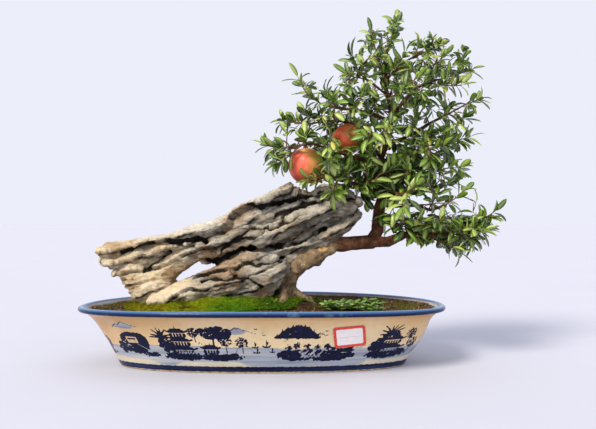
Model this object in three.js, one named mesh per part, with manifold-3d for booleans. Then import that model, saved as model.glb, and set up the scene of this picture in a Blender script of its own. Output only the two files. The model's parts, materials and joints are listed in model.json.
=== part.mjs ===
// Pomegranate bonsai grown over a layered stone, in an oval blue-and-white tray.
// Millimetres, +Z up, +X along the tray, -Y towards the front with the paper label.
// Every table below is measured from the middle of the tray's foot, on the surface it stands on.

import * as THREE from 'three';
import { mergeVertices } from 'three/addons/utils/BufferGeometryUtils.js';
import Module from 'manifold-3d';

const wasm = await Module();
wasm.setup();

// ---- driving dimensions ----

const GAP = 0.3;
const SEED = 41;

const TRAY_SEGMENTS = 28;
const TRAY_POWER = 2.3;
const RIM_LENGTH = 300;
const RIM_DEPTH = 160;
const FOOT_LENGTH = 236;
const FOOT_DEPTH = 88;
const RIM_HEIGHT = 103;
const END_DIP = 6;
const FLOOR = 14;
const HOLE_X = 120;
const HOLE_RADIUS = 9;
const SCREEN_SIDE = 30;
const SCREEN_THICK = 1.2;

// Half-length of the tray and height, from the middle of its underside round to the middle of its floor.
const TRAY_PROFILE = [
  [0, 5], [219, 5], [221, 0], [232, 0], [237, 8], [246, 32], [266, 66], [276, 80], [291, 92], [299, 97],
  [299.5, 101], [294, 103], [288, 101], [283, 93], [267, 78], [247, 50], [226, 16], [221, FLOOR], [0, FLOOR],
];
const SOIL_PROFILE = [
  [0, FLOOR + GAP], [220.5, FLOOR + GAP], [246.4, 50.3], [266.3, 78.3], [276.6, 88],
  [215, 90], [110, 92], [0, 92],
];

const LABEL_SIZE = [47, 33];
const LABEL_AT = [140, 60];
const LABEL_TURN = 0.07;
const LABEL_THICK = 0.6;

const CROWN_AXIS = [205, 25];
const LEAF_LENGTH = [21, 31];
const LEAF_HALF_WIDTH = [3.9, 5];
const LEAF_THICK = 1.1;
const LEAF_SPACING = 7;
const LEAF_PAIRS = [3, 5];
const NODE_LENGTH = 2.2;
const SEAT_TRIES = 9;
const LEAST_LEAN = 0.6;

// The stone's layers: depth is front and back, rows are [x, top, bottom] from left to right.
const STONE = [
  { depth: [-60, 40], rows: [
    [-271, 191, 176], [-258, 201, 173], [-238, 202, 179], [-215, 203, 185], [-188, 206, 192],
    [-162, 210, 200], [-137, 218, 201], [-112, 228, 205], [-89, 234, 205], [-65, 242, 214],
    [-50, 249, 224]] },
  { depth: [-50, 48], rows: [
    [-266, 180, 165], [-254, 176, 158], [-238, 181, 157], [-218, 188, 165], [-196, 194, 168],
    [-188, 195, 165], [-175, 198, 172], [-160, 203, 182], [-135, 203, 190], [-112, 206, 193],
    [-94, 206, 193]] },
  { depth: [-50, 42], rows: [
    [-243, 158, 148], [-228, 161, 133], [-215, 166, 122], [-201, 168, 103], [-185, 159, 98],
    [-168, 166, 98], [-152, 143, 98]] },
  { depth: [-44, 46], rows: [
    [-191, 155, 120], [-171, 168, 123], [-160, 177, 128], [-142, 188, 145], [-120, 195, 160],
    [-105, 200, 170], [-89, 203, 163], [-77, 200, 166], [-59, 198, 175], [-46, 200, 182],
    [-29, 201, 186]] },
  { depth: [-56, 40], rows: [
    [-100, 198, 190], [-80, 209, 186], [-59, 219, 190], [-39, 233, 191], [-19, 231, 190],
    [1, 226, 191], [21, 233, 198], [44, 246, 208], [67, 256, 218], [90, 264, 231], [114, 267, 241],
    [135, 263, 246], [157, 253, 244]] },
  { depth: [-40, 52], rows: [
    [-59, 239, 219], [-39, 254, 214], [-19, 259, 216], [1, 259, 219], [21, 264, 228],
    [44, 266, 239], [67, 272, 249], [94, 276, 258], [120, 272, 259], [143, 264, 253]] },
  { depth: [-52, 58], rows: [
    [-46, 254, 246], [-26, 265, 259], [-9, 272, 259], [8, 280, 258], [27, 289, 264], [43, 296, 264],
    [58, 282, 267], [80, 281, 268], [97, 292, 272], [117, 296, 271], [137, 289, 266],
    [157, 271, 258]] },
  { depth: [-40, 44], rows: [
    [-12, 186, 166], [4, 188, 171], [21, 193, 175], [44, 200, 180], [67, 205, 181], [90, 216, 188],
    [114, 226, 200], [137, 238, 216], [162, 246, 241]] },
  { depth: [-62, 62], rows: [
    [-175, 122, 96], [-146, 131, 95], [-112, 145, 95], [-84, 157, 95], [-59, 170, 95],
    [-43, 176, 95], [-29, 190, 95], [-8, 189, 96], [14, 184, 108], [39, 173, 150]] },
  { depth: [-22, 66], rows: [
    [-82, 203, 186], [-55, 216, 186], [-29, 228, 176], [-2, 233, 166], [24, 243, 170],
    [51, 249, 183], [77, 256, 193], [104, 259, 203], [130, 256, 226]] },
];

// Bare wood: each row is [x, y, z, radius]. The fruit twigs end in the stalk end of their fruit.
const TRUNK = {
  trunk: [[42, -12, 90, 16], [40, -16, 112, 16], [39, -20, 133, 14], [48, -23, 150, 13],
    [70, -24, 163, 11.5], [94, -22, 177, 11], [115, -16, 193, 10.5], [137, -10, 200, 9.5],
    [160, -6, 195, 8.5], [180, 0, 200, 8.5]],
  root_left: [[40, -20, 140, 9], [20, -26, 133, 7], [4, -32, 124, 5.5], [-14, -38, 110, 4]],
  root_front: [[40, -20, 130, 9], [38, -36, 116, 8], [34, -48, 106, 6], [30, -58, 96, 4]],
  root_right: [[42, -14, 124, 9], [58, -17, 114, 7], [76, -20, 105, 5], [96, -26, 94, 3.5]],
  root_back: [[42, -10, 130, 9], [50, 10, 116, 8], [60, 30, 106, 6], [68, 44, 94, 4]],
  fruit_twig_low: [[80, 16, 398, 1.9], [66, 19, 380, 1.7], [52, 12, 356, 1.7], [54, 7, 340, 1.7]],
  fruit_twig_high: [[147, 12, 398, 1.9], [141, 16, 384, 1.7], [133, 14, 370, 1.7], [134, 4, 363, 1.7]],
};

// Limbs that end in leaves; the leader carries the others.
const LIMBS = {
  leader: [[178, 0, 199, 8], [190, 5, 221, 7.5], [190, 9, 244, 7.2], [197, 9, 273, 7], [200, 6, 306, 6.6],
    [195, 0, 340, 6], [206, -3, 368, 5.5], [213, 0, 395, 5], [208, 3, 435, 4.2], [200, 2, 475, 3.4],
    [205, 0, 514, 2.6], [215, -2, 547, 1.9]],
  low_right: [[180, 0, 200, 7], [206, -6, 200, 6], [229, -11, 210, 5.4], [254, -15, 216, 4.8],
    [273, -19, 210, 4.2], [299, -22, 213, 3.2], [330, -20, 221, 2.4], [355, -18, 234, 1.7]],
  low_drop: [[273, -19, 210, 3], [289, -27, 200, 2.4], [307, -32, 192, 1.7]],
  mid_right: [[197, 9, 269, 4.5], [220, 4, 274, 4], [243, -2, 267, 3.6], [268, -8, 252, 3],
    [296, -12, 259, 2.3], [317, -12, 272, 1.7]],
  inner_right: [[231, 1, 272, 3.4], [245, 5, 293, 3.2], [244, 6, 323, 2.9], [255, 4, 344, 2.5],
    [283, 0, 357, 2.1], [312, -4, 365, 1.6]],
  long_right: [[205, -2, 365, 4], [233, 4, 371, 3.5], [273, 1, 395, 3], [302, -4, 409, 2.4],
    [331, -8, 425, 1.9], [349, -9, 432, 1.5]],
  high_right: [[212, 1, 405, 4], [234, 9, 435, 3.7], [257, 9, 458, 3.4], [287, 5, 469, 2.8],
    [318, 0, 476, 2]],
  top_right: [[202, 2, 468, 2.8], [229, -4, 494, 2.4], [259, -4, 510, 2], [283, 0, 521, 1.6]],
  top_left: [[207, 3, 442, 3], [181, -4, 461, 2.5], [163, -8, 473, 2], [153, -6, 490, 1.6]],
  high_left: [[211, 0, 398, 3.6], [177, -18, 411, 3.2], [143, -30, 415, 2.8], [104, -28, 421, 2.3],
    [74, -23, 439, 1.7]],
  mid_left: [[198, 0, 349, 3.4], [175, 6, 373, 3.1], [147, 12, 398, 2.8], [110, 18, 403, 2.3],
    [73, 16, 397, 2], [47, 12, 400, 1.6]],
  long_left: [[198, 4, 326, 3.8], [162, -22, 334, 3.3], [123, -38, 345, 2.9], [81, -40, 358, 2.4],
    [46, -36, 353, 1.9], [26, -33, 352, 1.5]],
  low_left: [[199, 8, 286, 3.6], [167, -24, 291, 3.1], [139, -42, 297, 2.6], [107, -54, 301, 2],
    [88, -58, 303, 1.6]],
  back_left: [[197, 2, 336, 3.6], [182, 40, 356, 3.1], [153, 72, 373, 2.5], [125, 92, 393, 1.8]],
  back_right: [[200, 7, 299, 3.6], [227, 45, 322, 3.2], [262, 76, 342, 2.6], [300, 96, 350, 1.8]],
  back_top: [[208, 3, 432, 2.8], [215, 38, 455, 2.3], [226, 66, 477, 1.7]],
  front_low: [[199, 9, 283, 3.4], [210, -36, 281, 2.9], [223, -70, 274, 2.3], [230, -86, 267, 1.7]],
  front_mid: [[205, -3, 365, 3.2], [195, -42, 369, 2.7], [183, -72, 370, 2.1], [176, -84, 372, 1.6]],
  front_top: [[208, 3, 439, 2.6], [218, -32, 439, 2.1], [224, -56, 442, 1.6]],
  rear_low: [[199, 9, 263, 3.4], [234, 44, 260, 2.9], [272, 70, 262, 2.3], [302, 84, 266, 1.7]],
};

// Leafy sprays: the limb each one grows from, how far along it, and where its furthest leaf ends.
const SPRAYS = [
  ['leader', 1.0, [223, -2, 582]], ['leader', 0.93, [174, -10, 562]], ['leader', 0.9, [243, -28, 524]],
  ['leader', 0.86, [197, 48, 529]],
  ['top_left', 1.0, [145, -4, 523]], ['top_left', 0.8, [123, -26, 476]],
  ['high_left', 1.0, [50, -22, 483]], ['high_left', 0.75, [97, -4, 461]],
  ['high_left', 0.62, [107, -70, 428]], ['high_left', 0.4, [137, 12, 457]],
  ['mid_left', 1.0, [14, 8, 401]], ['mid_left', 0.75, [56, 40, 431]], ['mid_left', 0.5, [97, 62, 393]],
  ['long_left', 1.0, [-9, -30, 360]], ['long_left', 0.85, [12, -50, 315]],
  ['long_left', 0.65, [69, -62, 381]], ['long_left', 0.42, [110, -88, 319]],
  ['low_left', 1.0, [60, -62, 296]], ['low_left', 0.75, [112, -82, 268]],
  ['low_left', 0.5, [134, -70, 324]],
  ['top_right', 1.0, [306, 2, 538]], ['top_right', 0.6, [263, 18, 546]],
  ['high_right', 1.0, [361, 0, 491]], ['high_right', 0.85, [343, -22, 454]],
  ['high_right', 0.6, [300, 34, 509]], ['high_right', 0.42, [267, -44, 425]],
  ['long_right', 1.0, [372, -10, 442]], ['long_right', 0.82, [340, -20, 391]],
  ['long_right', 0.55, [317, 28, 439]],
  ['inner_right', 1.0, [359, -6, 378]], ['inner_right', 0.55, [273, -46, 383]],
  ['mid_right', 1.0, [342, -10, 295]], ['mid_right', 0.62, [284, -58, 287]],
  ['low_right', 1.0, [394, -18, 260]], ['low_right', 0.85, [375, -32, 220]],
  ['low_right', 0.6, [290, -62, 245]],
  ['low_drop', 1.0, [334, -34, 175]],
  ['back_left', 1.0, [89, 104, 419]], ['back_left', 0.6, [147, 106, 420]],
  ['back_right', 1.0, [348, 106, 330]], ['back_right', 0.65, [281, 112, 392]],
  ['back_top', 1.0, [239, 88, 513]],
  ['front_low', 1.0, [213, -108, 245]], ['front_low', 0.7, [253, -104, 294]],
  ['front_mid', 1.0, [159, -104, 348]], ['front_mid', 0.7, [213, -106, 387]],
  ['front_top', 1.0, [234, -80, 450]],
  ['rear_low', 1.0, [340, 98, 265]],
];

const FRUITS = [
  { name: 'pomegranate_low', centre: [71, -8, 325], radius: 29.5, crown: [0.62, -0.55, -0.56], seam: 0.2 },
  { name: 'pomegranate_high', centre: [139, -16, 369], radius: 24, crown: [0.25, -0.9, 0.3], seam: 0.9 },
];

// A creeping weed in the bare soil: [x, y, height above the soil] along its runner, rooted at both ends.
const WEED_RUNNER = [
  [102, -64, -4], [112, -58, 2.4], [128, -66, 3], [146, -58, 3], [164, -66, 3], [182, -58, 2.4],
  [194, -62, -4],
];
const WEED_NODES = 8;

const PEBBLE = { centre: [186, -96, 90.5], size: [8, 6, 4] };

// ---- helpers ----

// Repeatable random numbers from 0 to 1.
function randomFrom(seed) {
  let state = seed | 0;
  return () => {
    state = (state + 0x6d2b79f5) | 0;
    let t = Math.imul(state ^ (state >>> 15), 1 | state);
    t = (t + Math.imul(t ^ (t >>> 7), 61 | t)) ^ t;
    return ((t ^ (t >>> 14)) >>> 0) / 4294967296;
  };
}

function between(random, [low, high]) {
  return low + (high - low) * random();
}

// A closed solid from a three.js geometry: shared vertices merged, collapsed triangles dropped, faces out.
function solid(geometry) {
  geometry.deleteAttribute('normal');
  geometry.deleteAttribute('uv');
  const merged = mergeVertices(geometry, 1e-3);
  const position = merged.attributes.position.array;
  const index = merged.index.array;
  const triangles = [];
  let volume = 0;
  for (let i = 0; i < index.length; i += 3) {
    const [a, b, c] = [index[i], index[i + 1], index[i + 2]];
    if (a === b || b === c || c === a) continue;
    triangles.push(a, b, c);
    const [p, q, r] = [a, b, c].map((k) => new THREE.Vector3().fromArray(position, 3 * k));
    volume += p.dot(q.cross(r));
  }
  if (volume < 0) triangles.reverse();
  return new wasm.Manifold(new wasm.Mesh({
    numProp: 3,
    vertProperties: new Float32Array(position),
    triVerts: new Uint32Array(triangles),
  }));
}

function largest(body) {
  return body.decompose().sort((a, b) => b.volume() - a.volume())[0];
}

function union(bodies) {
  return bodies.reduce((all, one) => all.add(one));
}

// A closed bar of `sides` by `steps` faces: place(along 0..1, angle, out 0..1) gives each point.
function bar(sides, steps, place) {
  const geometry = new THREE.CylinderGeometry(1, 1, 1, sides, steps);
  const position = geometry.attributes.position;
  for (let i = 0; i < position.count; i++) {
    const out = Math.hypot(position.getX(i), position.getZ(i));
    const angle = Math.atan2(position.getX(i), position.getZ(i));
    const point = place(position.getY(i) + 0.5, angle, out);
    position.setXYZ(i, point.x, point.y, point.z);
  }
  return solid(geometry);
}

// ---- tray, soil, moss ----

// Point on the oval whose half-length is `reach`, with the rim dipping towards both ends.
function ovalPoint(reach, angle, height) {
  const slope = (RIM_DEPTH - FOOT_DEPTH) / (RIM_LENGTH - FOOT_LENGTH);
  const depth = reach > FOOT_LENGTH
    ? FOOT_DEPTH + (reach - FOOT_LENGTH) * slope
    : (reach * FOOT_DEPTH) / FOOT_LENGTH;
  const c = Math.cos(angle);
  const s = Math.sin(angle);
  const x = Math.sign(c) * Math.abs(c) ** (2 / TRAY_POWER) * reach;
  const y = Math.sign(s) * Math.abs(s) ** (2 / TRAY_POWER) * depth;
  const dip = END_DIP * (x / RIM_LENGTH) ** 2 * Math.max(0, (height - 20) / (RIM_HEIGHT - 20));
  return new THREE.Vector3(x, y, height - dip);
}

function ovalSolid(profile, lift) {
  const points = profile.map(([reach, height]) => new THREE.Vector2(reach, height));
  const geometry = new THREE.LatheGeometry(points, TRAY_SEGMENTS);
  const position = geometry.attributes.position;
  for (let i = 0; i < position.count; i++) {
    const reach = Math.hypot(position.getX(i), position.getZ(i));
    const point = ovalPoint(reach, Math.atan2(position.getX(i), position.getZ(i)), position.getY(i));
    position.setXYZ(i, point.x, point.y, point.z + lift(point));
  }
  return solid(geometry);
}

function cylinder(radius, height, x, y, z) {
  const geometry = new THREE.CylinderGeometry(radius, radius, height, 12);
  geometry.rotateX(Math.PI / 2);
  geometry.translate(x, y, z);
  return solid(geometry);
}

function tray() {
  const body = ovalSolid(TRAY_PROFILE, () => 0);
  return [-HOLE_X, HOLE_X].reduce((all, x) => all.subtract(cylinder(HOLE_RADIUS, 40, x, 0, FLOOR)), body);
}

function block(width, depth, height, x, y, z) {
  const geometry = new THREE.BoxGeometry(width, depth, height);
  geometry.translate(x, y, z);
  return solid(geometry);
}

// Plastic mesh over a drain hole: a thin square with four openings.
function drainScreen(x) {
  const z = FLOOR + GAP + SCREEN_THICK / 2;
  let plate = block(SCREEN_SIDE, SCREEN_SIDE, SCREEN_THICK, x, 0, z);
  for (const u of [-6, 6]) {
    for (const v of [-6, 6]) plate = plate.subtract(block(8, 8, 2 * SCREEN_THICK, x + u, v, z));
  }
  return plate;
}

// Height of the mounded soil above its flat profile.
function mound(x, y) {
  const edge = Math.min(1, ovalReach(x, y) / 270);
  const hill = 21 * Math.exp(-(((x + 70) / 200) ** 2) - (y / 90) ** 2);
  const lumps = 1.5 * Math.sin(x / 17 + 1) * Math.cos(y / 13) + 1.2 * Math.sin(x / 9 - y / 21);
  return (hill + lumps) * (1 - edge ** 5);
}

// Half-length of the oval, of the tray's proportions at the soil line, that passes through (x, y).
function ovalReach(x, y) {
  return (Math.abs(x) ** TRAY_POWER + Math.abs(y * 2.03) ** TRAY_POWER) ** (1 / TRAY_POWER);
}

function soil(extra) {
  return ovalSolid(SOIL_PROFILE, (point) => (point.z > 80 ? mound(point.x, point.y) + extra : 0));
}

// Moss on the left and middle of the mound; its edge runs out under the soil's surface.
function moss() {
  const rings = [[0, 80], [1, 80], [1, 90], [0.8, 92], [0.42, 92], [0, 92]];
  const points = rings.map(([out, height]) => new THREE.Vector2(out, height));
  const geometry = new THREE.LatheGeometry(points, 16);
  const position = geometry.attributes.position;
  for (let i = 0; i < position.count; i++) {
    const out = Math.hypot(position.getX(i), position.getZ(i));
    const angle = Math.atan2(position.getX(i), position.getZ(i));
    const wave = 1 + 0.05 * Math.sin(3 * angle + 1) + 0.035 * Math.sin(7 * angle);
    const x = -68 + 182 * out * wave * Math.cos(angle);
    const y = -3 + 112 * out * wave * Math.sin(angle);
    const height = position.getY(i);
    const thick = height > 85 ? mound(x, y) + 9 - 12 * out ** 3 + Math.sin(x / 11) * Math.cos(y / 8) : 0;
    position.setXYZ(i, x, y, height + thick);
  }
  return solid(geometry);
}

// ---- stone ----

function stoneLayer({ depth, rows }, extra, random) {
  const last = rows.length - 1;
  const jags = rows.map(() => [between(random, [-6, 6]), between(random, [-8, 8])]);
  return bar(6, last, (along, angle, out) => {
    const k = Math.round(along * last);
    const [x, top, bottom] = rows[k];
    const front = depth[0] + jags[k][0] - extra;
    const back = depth[1] + jags[k][1] + extra;
    const c = Math.cos(angle);
    const s = Math.sin(angle);
    const y = (front + back) / 2 + ((back - front) / 2) * out * Math.sign(c) * Math.abs(c) ** 0.6;
    const half = (top - bottom) / 2 + extra;
    const z = (top + bottom) / 2 + half * out * Math.sign(s) * Math.abs(s) ** 0.6;
    const end = k === 0 ? -extra : k === last ? extra : 0;
    return new THREE.Vector3(x + end, y, z);
  });
}

function stone(extra) {
  const random = randomFrom(SEED);
  return union(STONE.map((layer) => stoneLayer(layer, extra, random)));
}

// ---- wood ----

function limbCurve(rows) {
  return new THREE.CatmullRomCurve3(rows.map(([x, y, z]) => new THREE.Vector3(x, y, z)));
}

function limbRadius(rows, t) {
  const at = t * (rows.length - 1);
  const k = Math.min(Math.floor(at), rows.length - 2);
  return rows[k][3] + (rows[k + 1][3] - rows[k][3]) * (at - k);
}

// Two directions square to a curve's heading at each point, which turn with the curve and never flip.
function across(curve) {
  const whole = curve.getPoint(1).sub(curve.getPoint(0)).normalize();
  const level = new THREE.Vector3(0, 0, 1).cross(whole);
  if (level.length() < 0.2) level.set(1, 0, 0).cross(whole);
  return (along) => {
    const heading = curve.getTangent(along);
    const side = level.clone().addScaledVector(heading, -level.dot(heading)).normalize();
    return [side, heading.cross(side)];
  };
}

// How far along a limb its bare wood reaches; its last stretch belongs to the spray at its end.
function woodEnd(rows) {
  return 1 - 0.9 / (rows.length - 1);
}

function limb(rows, extra, reach = 1) {
  const curve = limbCurve(rows);
  const thick = Math.max(...rows.map((row) => row[3]));
  const sides = thick > 10 ? 8 : thick > 7 ? 6 : 4;
  const steps = Math.max(2, Math.round((reach * curve.getLength()) / (19 + thick)));
  const sidesAt = across(curve);
  return bar(sides, steps, (part, angle, out) => {
    const along = part * reach;
    const [side, other] = sidesAt(along);
    const radius = (limbRadius(rows, along) + extra) * out;
    const end = part === 0 ? -extra : part === 1 ? extra : 0;
    return curve.getPoint(along).addScaledVector(curve.getTangent(along), end)
      .addScaledVector(side, radius * Math.cos(angle)).addScaledVector(other, radius * Math.sin(angle));
  });
}

function wood(extra) {
  const bare = Object.values(TRUNK).map((rows) => limb(rows, extra));
  return union([...bare, ...Object.values(LIMBS).map((rows) => limb(rows, extra, woodEnd(rows)))]);
}

// ---- leafy sprays ----

// The widest row and the tip of a pointed blade, folded along its rib and bent down towards the tip.
function bladePoints({ base, aim, up, length, halfWidth }, extra = 0) {
  const side = up.clone().cross(aim);
  const at = (part, across, raise) => base.clone().addScaledVector(aim, length * part)
    .addScaledVector(side, across).addScaledVector(up, raise + length * (0.12 * part - 0.26 * part * part));
  const half = halfWidth + extra;
  const deep = LEAF_THICK / 2 + extra;
  const fold = 0.16 * halfWidth;
  return [at(0.56, half, fold), at(0.56, 0, deep), at(0.56, -half, fold), at(0.56, 0, -deep),
    at(1 + extra / length, 0, 0)];
}

// The room that a blade needs, `extra` past its own surface all round.
function bladeRoom(leaf, extra) {
  const points = bladePoints(leaf, extra);
  const centre = points[1].clone().add(points[3]).multiplyScalar(0.5);
  return bar(4, 2, (along, angle, out) => {
    const k = Math.round(along * 2);
    if (k === 2) return points[4].clone();
    const corner = points[Math.round(angle / (Math.PI / 2) + 4) % 4];
    if (k === 1) return centre.clone().lerp(corner, out);
    return leaf.base.clone().addScaledVector(corner.clone().sub(centre).normalize(), (0.4 + extra) * out);
  });
}

// Triangles of a leaf drawn out of four corners of its twig, to its widest row and on to its tip. The
// sides are split along their shorter diagonal, because the blade may be turned against its foot.
function leafSides(corners, leaf) {
  const side = leaf.up.clone().cross(leaf.aim);
  const [right, top, left, bottom, tip] = bladePoints(leaf);
  const row = [right, top, left, bottom];
  const arm = corners[0].clone().sub(leaf.base);
  const quarters = Math.atan2(arm.dot(leaf.up), arm.dot(side)) / (Math.PI / 2);
  const shift = Math.round(quarters) + 4;
  return corners.flatMap((a, k) => {
    const b = corners[(k + 1) % 4];
    const [c, d] = [row[(k + 1 + shift) % 4], row[(k + shift) % 4]];
    const sides = quarters + 4 > shift ? [a, b, c, a, c, d] : [a, b, d, b, c, d];
    return [...sides, d, c, tip];
  });
}

// A closed solid from its triangles' corners, three to a triangle.
function solidOf(corners) {
  const geometry = new THREE.BufferGeometry();
  geometry.setFromPoints(corners);
  return solid(geometry);
}

// Rows of a spray's twig: from its limb to just short of its furthest leaf's tip.
function twigRows(limbName, at, tip, random) {
  const rows = LIMBS[limbName];
  const curve = limbCurve(rows);
  const start = curve.getPoint(Math.min(at, woodEnd(rows) - (at < 1 ? 0.13 : 0)));
  const end = new THREE.Vector3(...tip);
  const middle = at < 1 ? start.clone().lerp(end, 0.45) : curve.getPoint(1);
  end.addScaledVector(end.clone().sub(middle).normalize(), -18);
  if (at < 1) {
    middle.z -= 3;
    middle.y += between(random, [-3, 3]);
  }
  return [[...start, 1.7], [...middle, 1.5], [...end, 1.2]];
}

function boxOf(body) {
  const { min, max } = body.boundingBox();
  return new THREE.Box3(new THREE.Vector3(...min), new THREE.Vector3(...max));
}

function clearOf(body, obstacles) {
  const box = boxOf(body);
  return obstacles.every((one) => !one.box.intersectsBox(box) || one.body.intersect(body).isEmpty());
}

function twig(rows, extra) {
  const curve = limbCurve(rows);
  const sidesAt = across(curve);
  return bar(4, 3, (along, angle, out) => {
    const [side, other] = sidesAt(along);
    const radius = (limbRadius(rows, along) + extra) * out;
    return curve.getPoint(along)
      .addScaledVector(side, radius * Math.cos(angle)).addScaledVector(other, radius * Math.sin(angle));
  });
}

// Rings along a spray's square twig: a close pair at each leaf node, and the faces the leaves grow from.
function layOut(rows, first, last, pairs, random) {
  const curve = limbCurve(rows);
  const half = NODE_LENGTH / 2 / curve.getLength();
  const turn = between(random, [0, Math.PI / 2]);
  const stations = [0];
  const places = [];
  for (let k = 0; k < pairs; k++) {
    const at = first + ((last - first) * k) / (pairs - 1);
    stations.push(at - half, at + half);
    for (const face of [k % 2, (k % 2) + 2]) places.push({ at, ring: 2 * k + 1, face });
  }
  stations.push(1);
  places.push({ at: 1, ring: stations.length - 1, face: -1 });
  const sidesAt = across(curve);
  const rings = stations.map((at) => {
    const [side, other] = sidesAt(at);
    return [0, 1, 2, 3].map((j) => {
      const angle = turn + (j * Math.PI) / 2;
      return curve.getPoint(at).addScaledVector(side, limbRadius(rows, at) * Math.cos(angle))
        .addScaledVector(other, limbRadius(rows, at) * Math.sin(angle));
    });
  });
  return { curve, rings, places: places.reverse() };
}

// The four corners that a leaf grows out of, counter-clockwise from outside.
function cornersOf({ ring, face }, rings) {
  if (face < 0) return rings[ring];
  const next = (face + 1) % 4;
  return [rings[ring][face], rings[ring][next], rings[ring + 1][next], rings[ring + 1][face]];
}

// Middle of those corners, and the way they face.
function footOf(corners) {
  const base = corners[0].clone().add(corners[1]).add(corners[2]).add(corners[3]).multiplyScalar(0.25);
  const out = corners[1].clone().sub(corners[0]).cross(corners[2].clone().sub(corners[1])).normalize();
  return { base, out };
}

// A leaf at its place, turned by a few seeded tries until it is clear of everything it must not touch
// and doesn't cross the leaves beside it.
function seatLeaf(place, spray, random, obstacles) {
  const heading = spray.curve.getTangent(place.at);
  const corners = cornersOf(place, spray.rings);
  const { base, out } = footOf(corners);
  const facing = new THREE.Vector3(base.x - CROWN_AXIS[0], base.y - CROWN_AXIS[1], 0).normalize();
  for (let attempt = 0; attempt < SEAT_TRIES; attempt++) {
    const swing = 0.25 + 0.08 * attempt;
    const aim = out.clone().multiplyScalar(place.face < 0 ? 1 : 0.8)
      .addScaledVector(heading, between(random, [0.35, 0.85]))
      .add(new THREE.Vector3(...[0, 1, 2].map(() => between(random, [-swing, swing])))).normalize();
    if (aim.dot(out) < LEAST_LEAN) continue;
    const up = new THREE.Vector3(between(random, [-0.5, 0.5]), between(random, [-0.5, 0.5]), 0.6)
      .addScaledVector(facing, 0.6).addScaledVector(heading, 0.2);
    up.addScaledVector(aim, -up.dot(aim)).normalize();
    const length = between(random, LEAF_LENGTH);
    const halfWidth = between(random, LEAF_HALF_WIDTH);
    const leaf = { base, aim, up, length, halfWidth };
    const room = bladeRoom(leaf, GAP);
    const whole = solidOf([...leafSides(corners, leaf), ...closing(corners)]);
    if (clearOf(room, obstacles) && clearOf(whole, spray.wholes)) return { ...place, leaf, room, whole };
  }
  return null;
}

// Two triangles over four corners, facing out, and facing in to close what grows out of them.
function facing([a, b, c, d]) {
  return [a, b, c, a, c, d];
}

function closing([a, b, c, d]) {
  return [a, c, b, a, d, c];
}

// One closed body: a square twig whose leaves are drawn out of its own faces.
function sprayBody({ rings, leaves }) {
  const points = closing(rings[0]);
  for (let ring = 0; ring < rings.length; ring++) {
    for (const face of ring < rings.length - 1 ? [0, 1, 2, 3] : [-1]) {
      const grown = leaves.find((one) => one.ring === ring && one.face === face);
      const corners = cornersOf({ ring, face }, rings);
      points.push(...(grown ? leafSides(corners, grown.leaf) : facing(corners)));
    }
  }
  return solidOf(points);
}

// Every spray of the tree, clear of the wood, the stone, the fruit and all the others. The leaves are
// seated in turn, one to a spray, so that no spray crowds its neighbours out.
function sprays(clearances) {
  const random = randomFrom(SEED);
  const fixed = clearances.map((body) => ({ body, box: boxOf(body) }));
  const counts = {};
  const all = SPRAYS.map(([limbName, at, tip]) => {
    counts[limbName] = (counts[limbName] || 0) + 1;
    const rows = twigRows(limbName, at, tip, random);
    const room = twig(rows, GAP);
    const first = at < 1 ? 0.32 : 0.2;
    const last = 0.93;
    const spaces = Math.round((limbCurve(rows).getLength() * (last - first)) / LEAF_SPACING);
    const pairs = THREE.MathUtils.clamp(spaces, ...LEAF_PAIRS);
    return {
      ...layOut(rows, first, last, pairs, random),
      name: `${limbName}_spray_${counts[limbName]}`,
      rooms: [{ body: room, box: boxOf(room) }],
      wholes: [],
      leaves: [],
    };
  });
  const most = Math.max(...all.map(({ places }) => places.length));
  for (let k = 0; k < most; k++) {
    for (const spray of all.filter(({ places }) => places.length > k)) {
      const others = all.filter((other) => other !== spray).flatMap((other) => other.rooms);
      const seated = seatLeaf(spray.places[k], spray, random, [...fixed, ...others]);
      if (seated) {
        spray.leaves.push(seated);
        spray.rooms.push({ body: seated.room, box: boxOf(seated.room) });
        spray.wholes.push({ body: seated.whole, box: boxOf(seated.whole) });
      }
    }
  }
  return all.map((spray) => {
    const cut = clearances.reduce((body, obstacle) => body.subtract(obstacle), sprayBody(spray));
    return { name: spray.name, body: largest(cut) };
  });
}

// ---- fruit ----

// Round body with a tubular crown of six teeth, growing out along its own axis.
function fruit({ centre, radius, crown, seam }, extra) {
  const profile = [
    [0, -1], [0.5, -0.88], [0.87, -0.52], [1, -0.05], [0.9, 0.45], [0.6, 0.8], [0.28, 0.93],
    [0.22, 1.08], [0.3, 1.3], [0.24, 1.31], [0.14, 1.05], [0, 1.02],
  ];
  const points = profile.map(([out, height]) => new THREE.Vector2(out * radius, height * radius));
  const geometry = new THREE.LatheGeometry(points, 12);
  const position = geometry.attributes.position;
  for (let i = 0; i < position.count; i++) {
    const angle = Math.atan2(position.getX(i), position.getZ(i));
    const tooth = position.getY(i) > 1.25 * radius ? 0.1 * radius * Math.cos(6 * angle) : 0;
    const rib = position.getY(i) < 0.7 * radius ? 1 + 0.015 * Math.cos(6 * angle + seam) : 1;
    const grow = rib * (1 + extra / radius);
    position.setXYZ(i, position.getX(i) * grow, position.getY(i) * (1 + extra / radius) + tooth,
      position.getZ(i) * grow);
  }
  const axis = new THREE.Vector3(...crown).normalize();
  geometry.applyQuaternion(new THREE.Quaternion().setFromUnitVectors(new THREE.Vector3(0, 1, 0), axis));
  geometry.translate(...centre);
  return solid(geometry);
}

// ---- weeds, pebble, label ----

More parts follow.
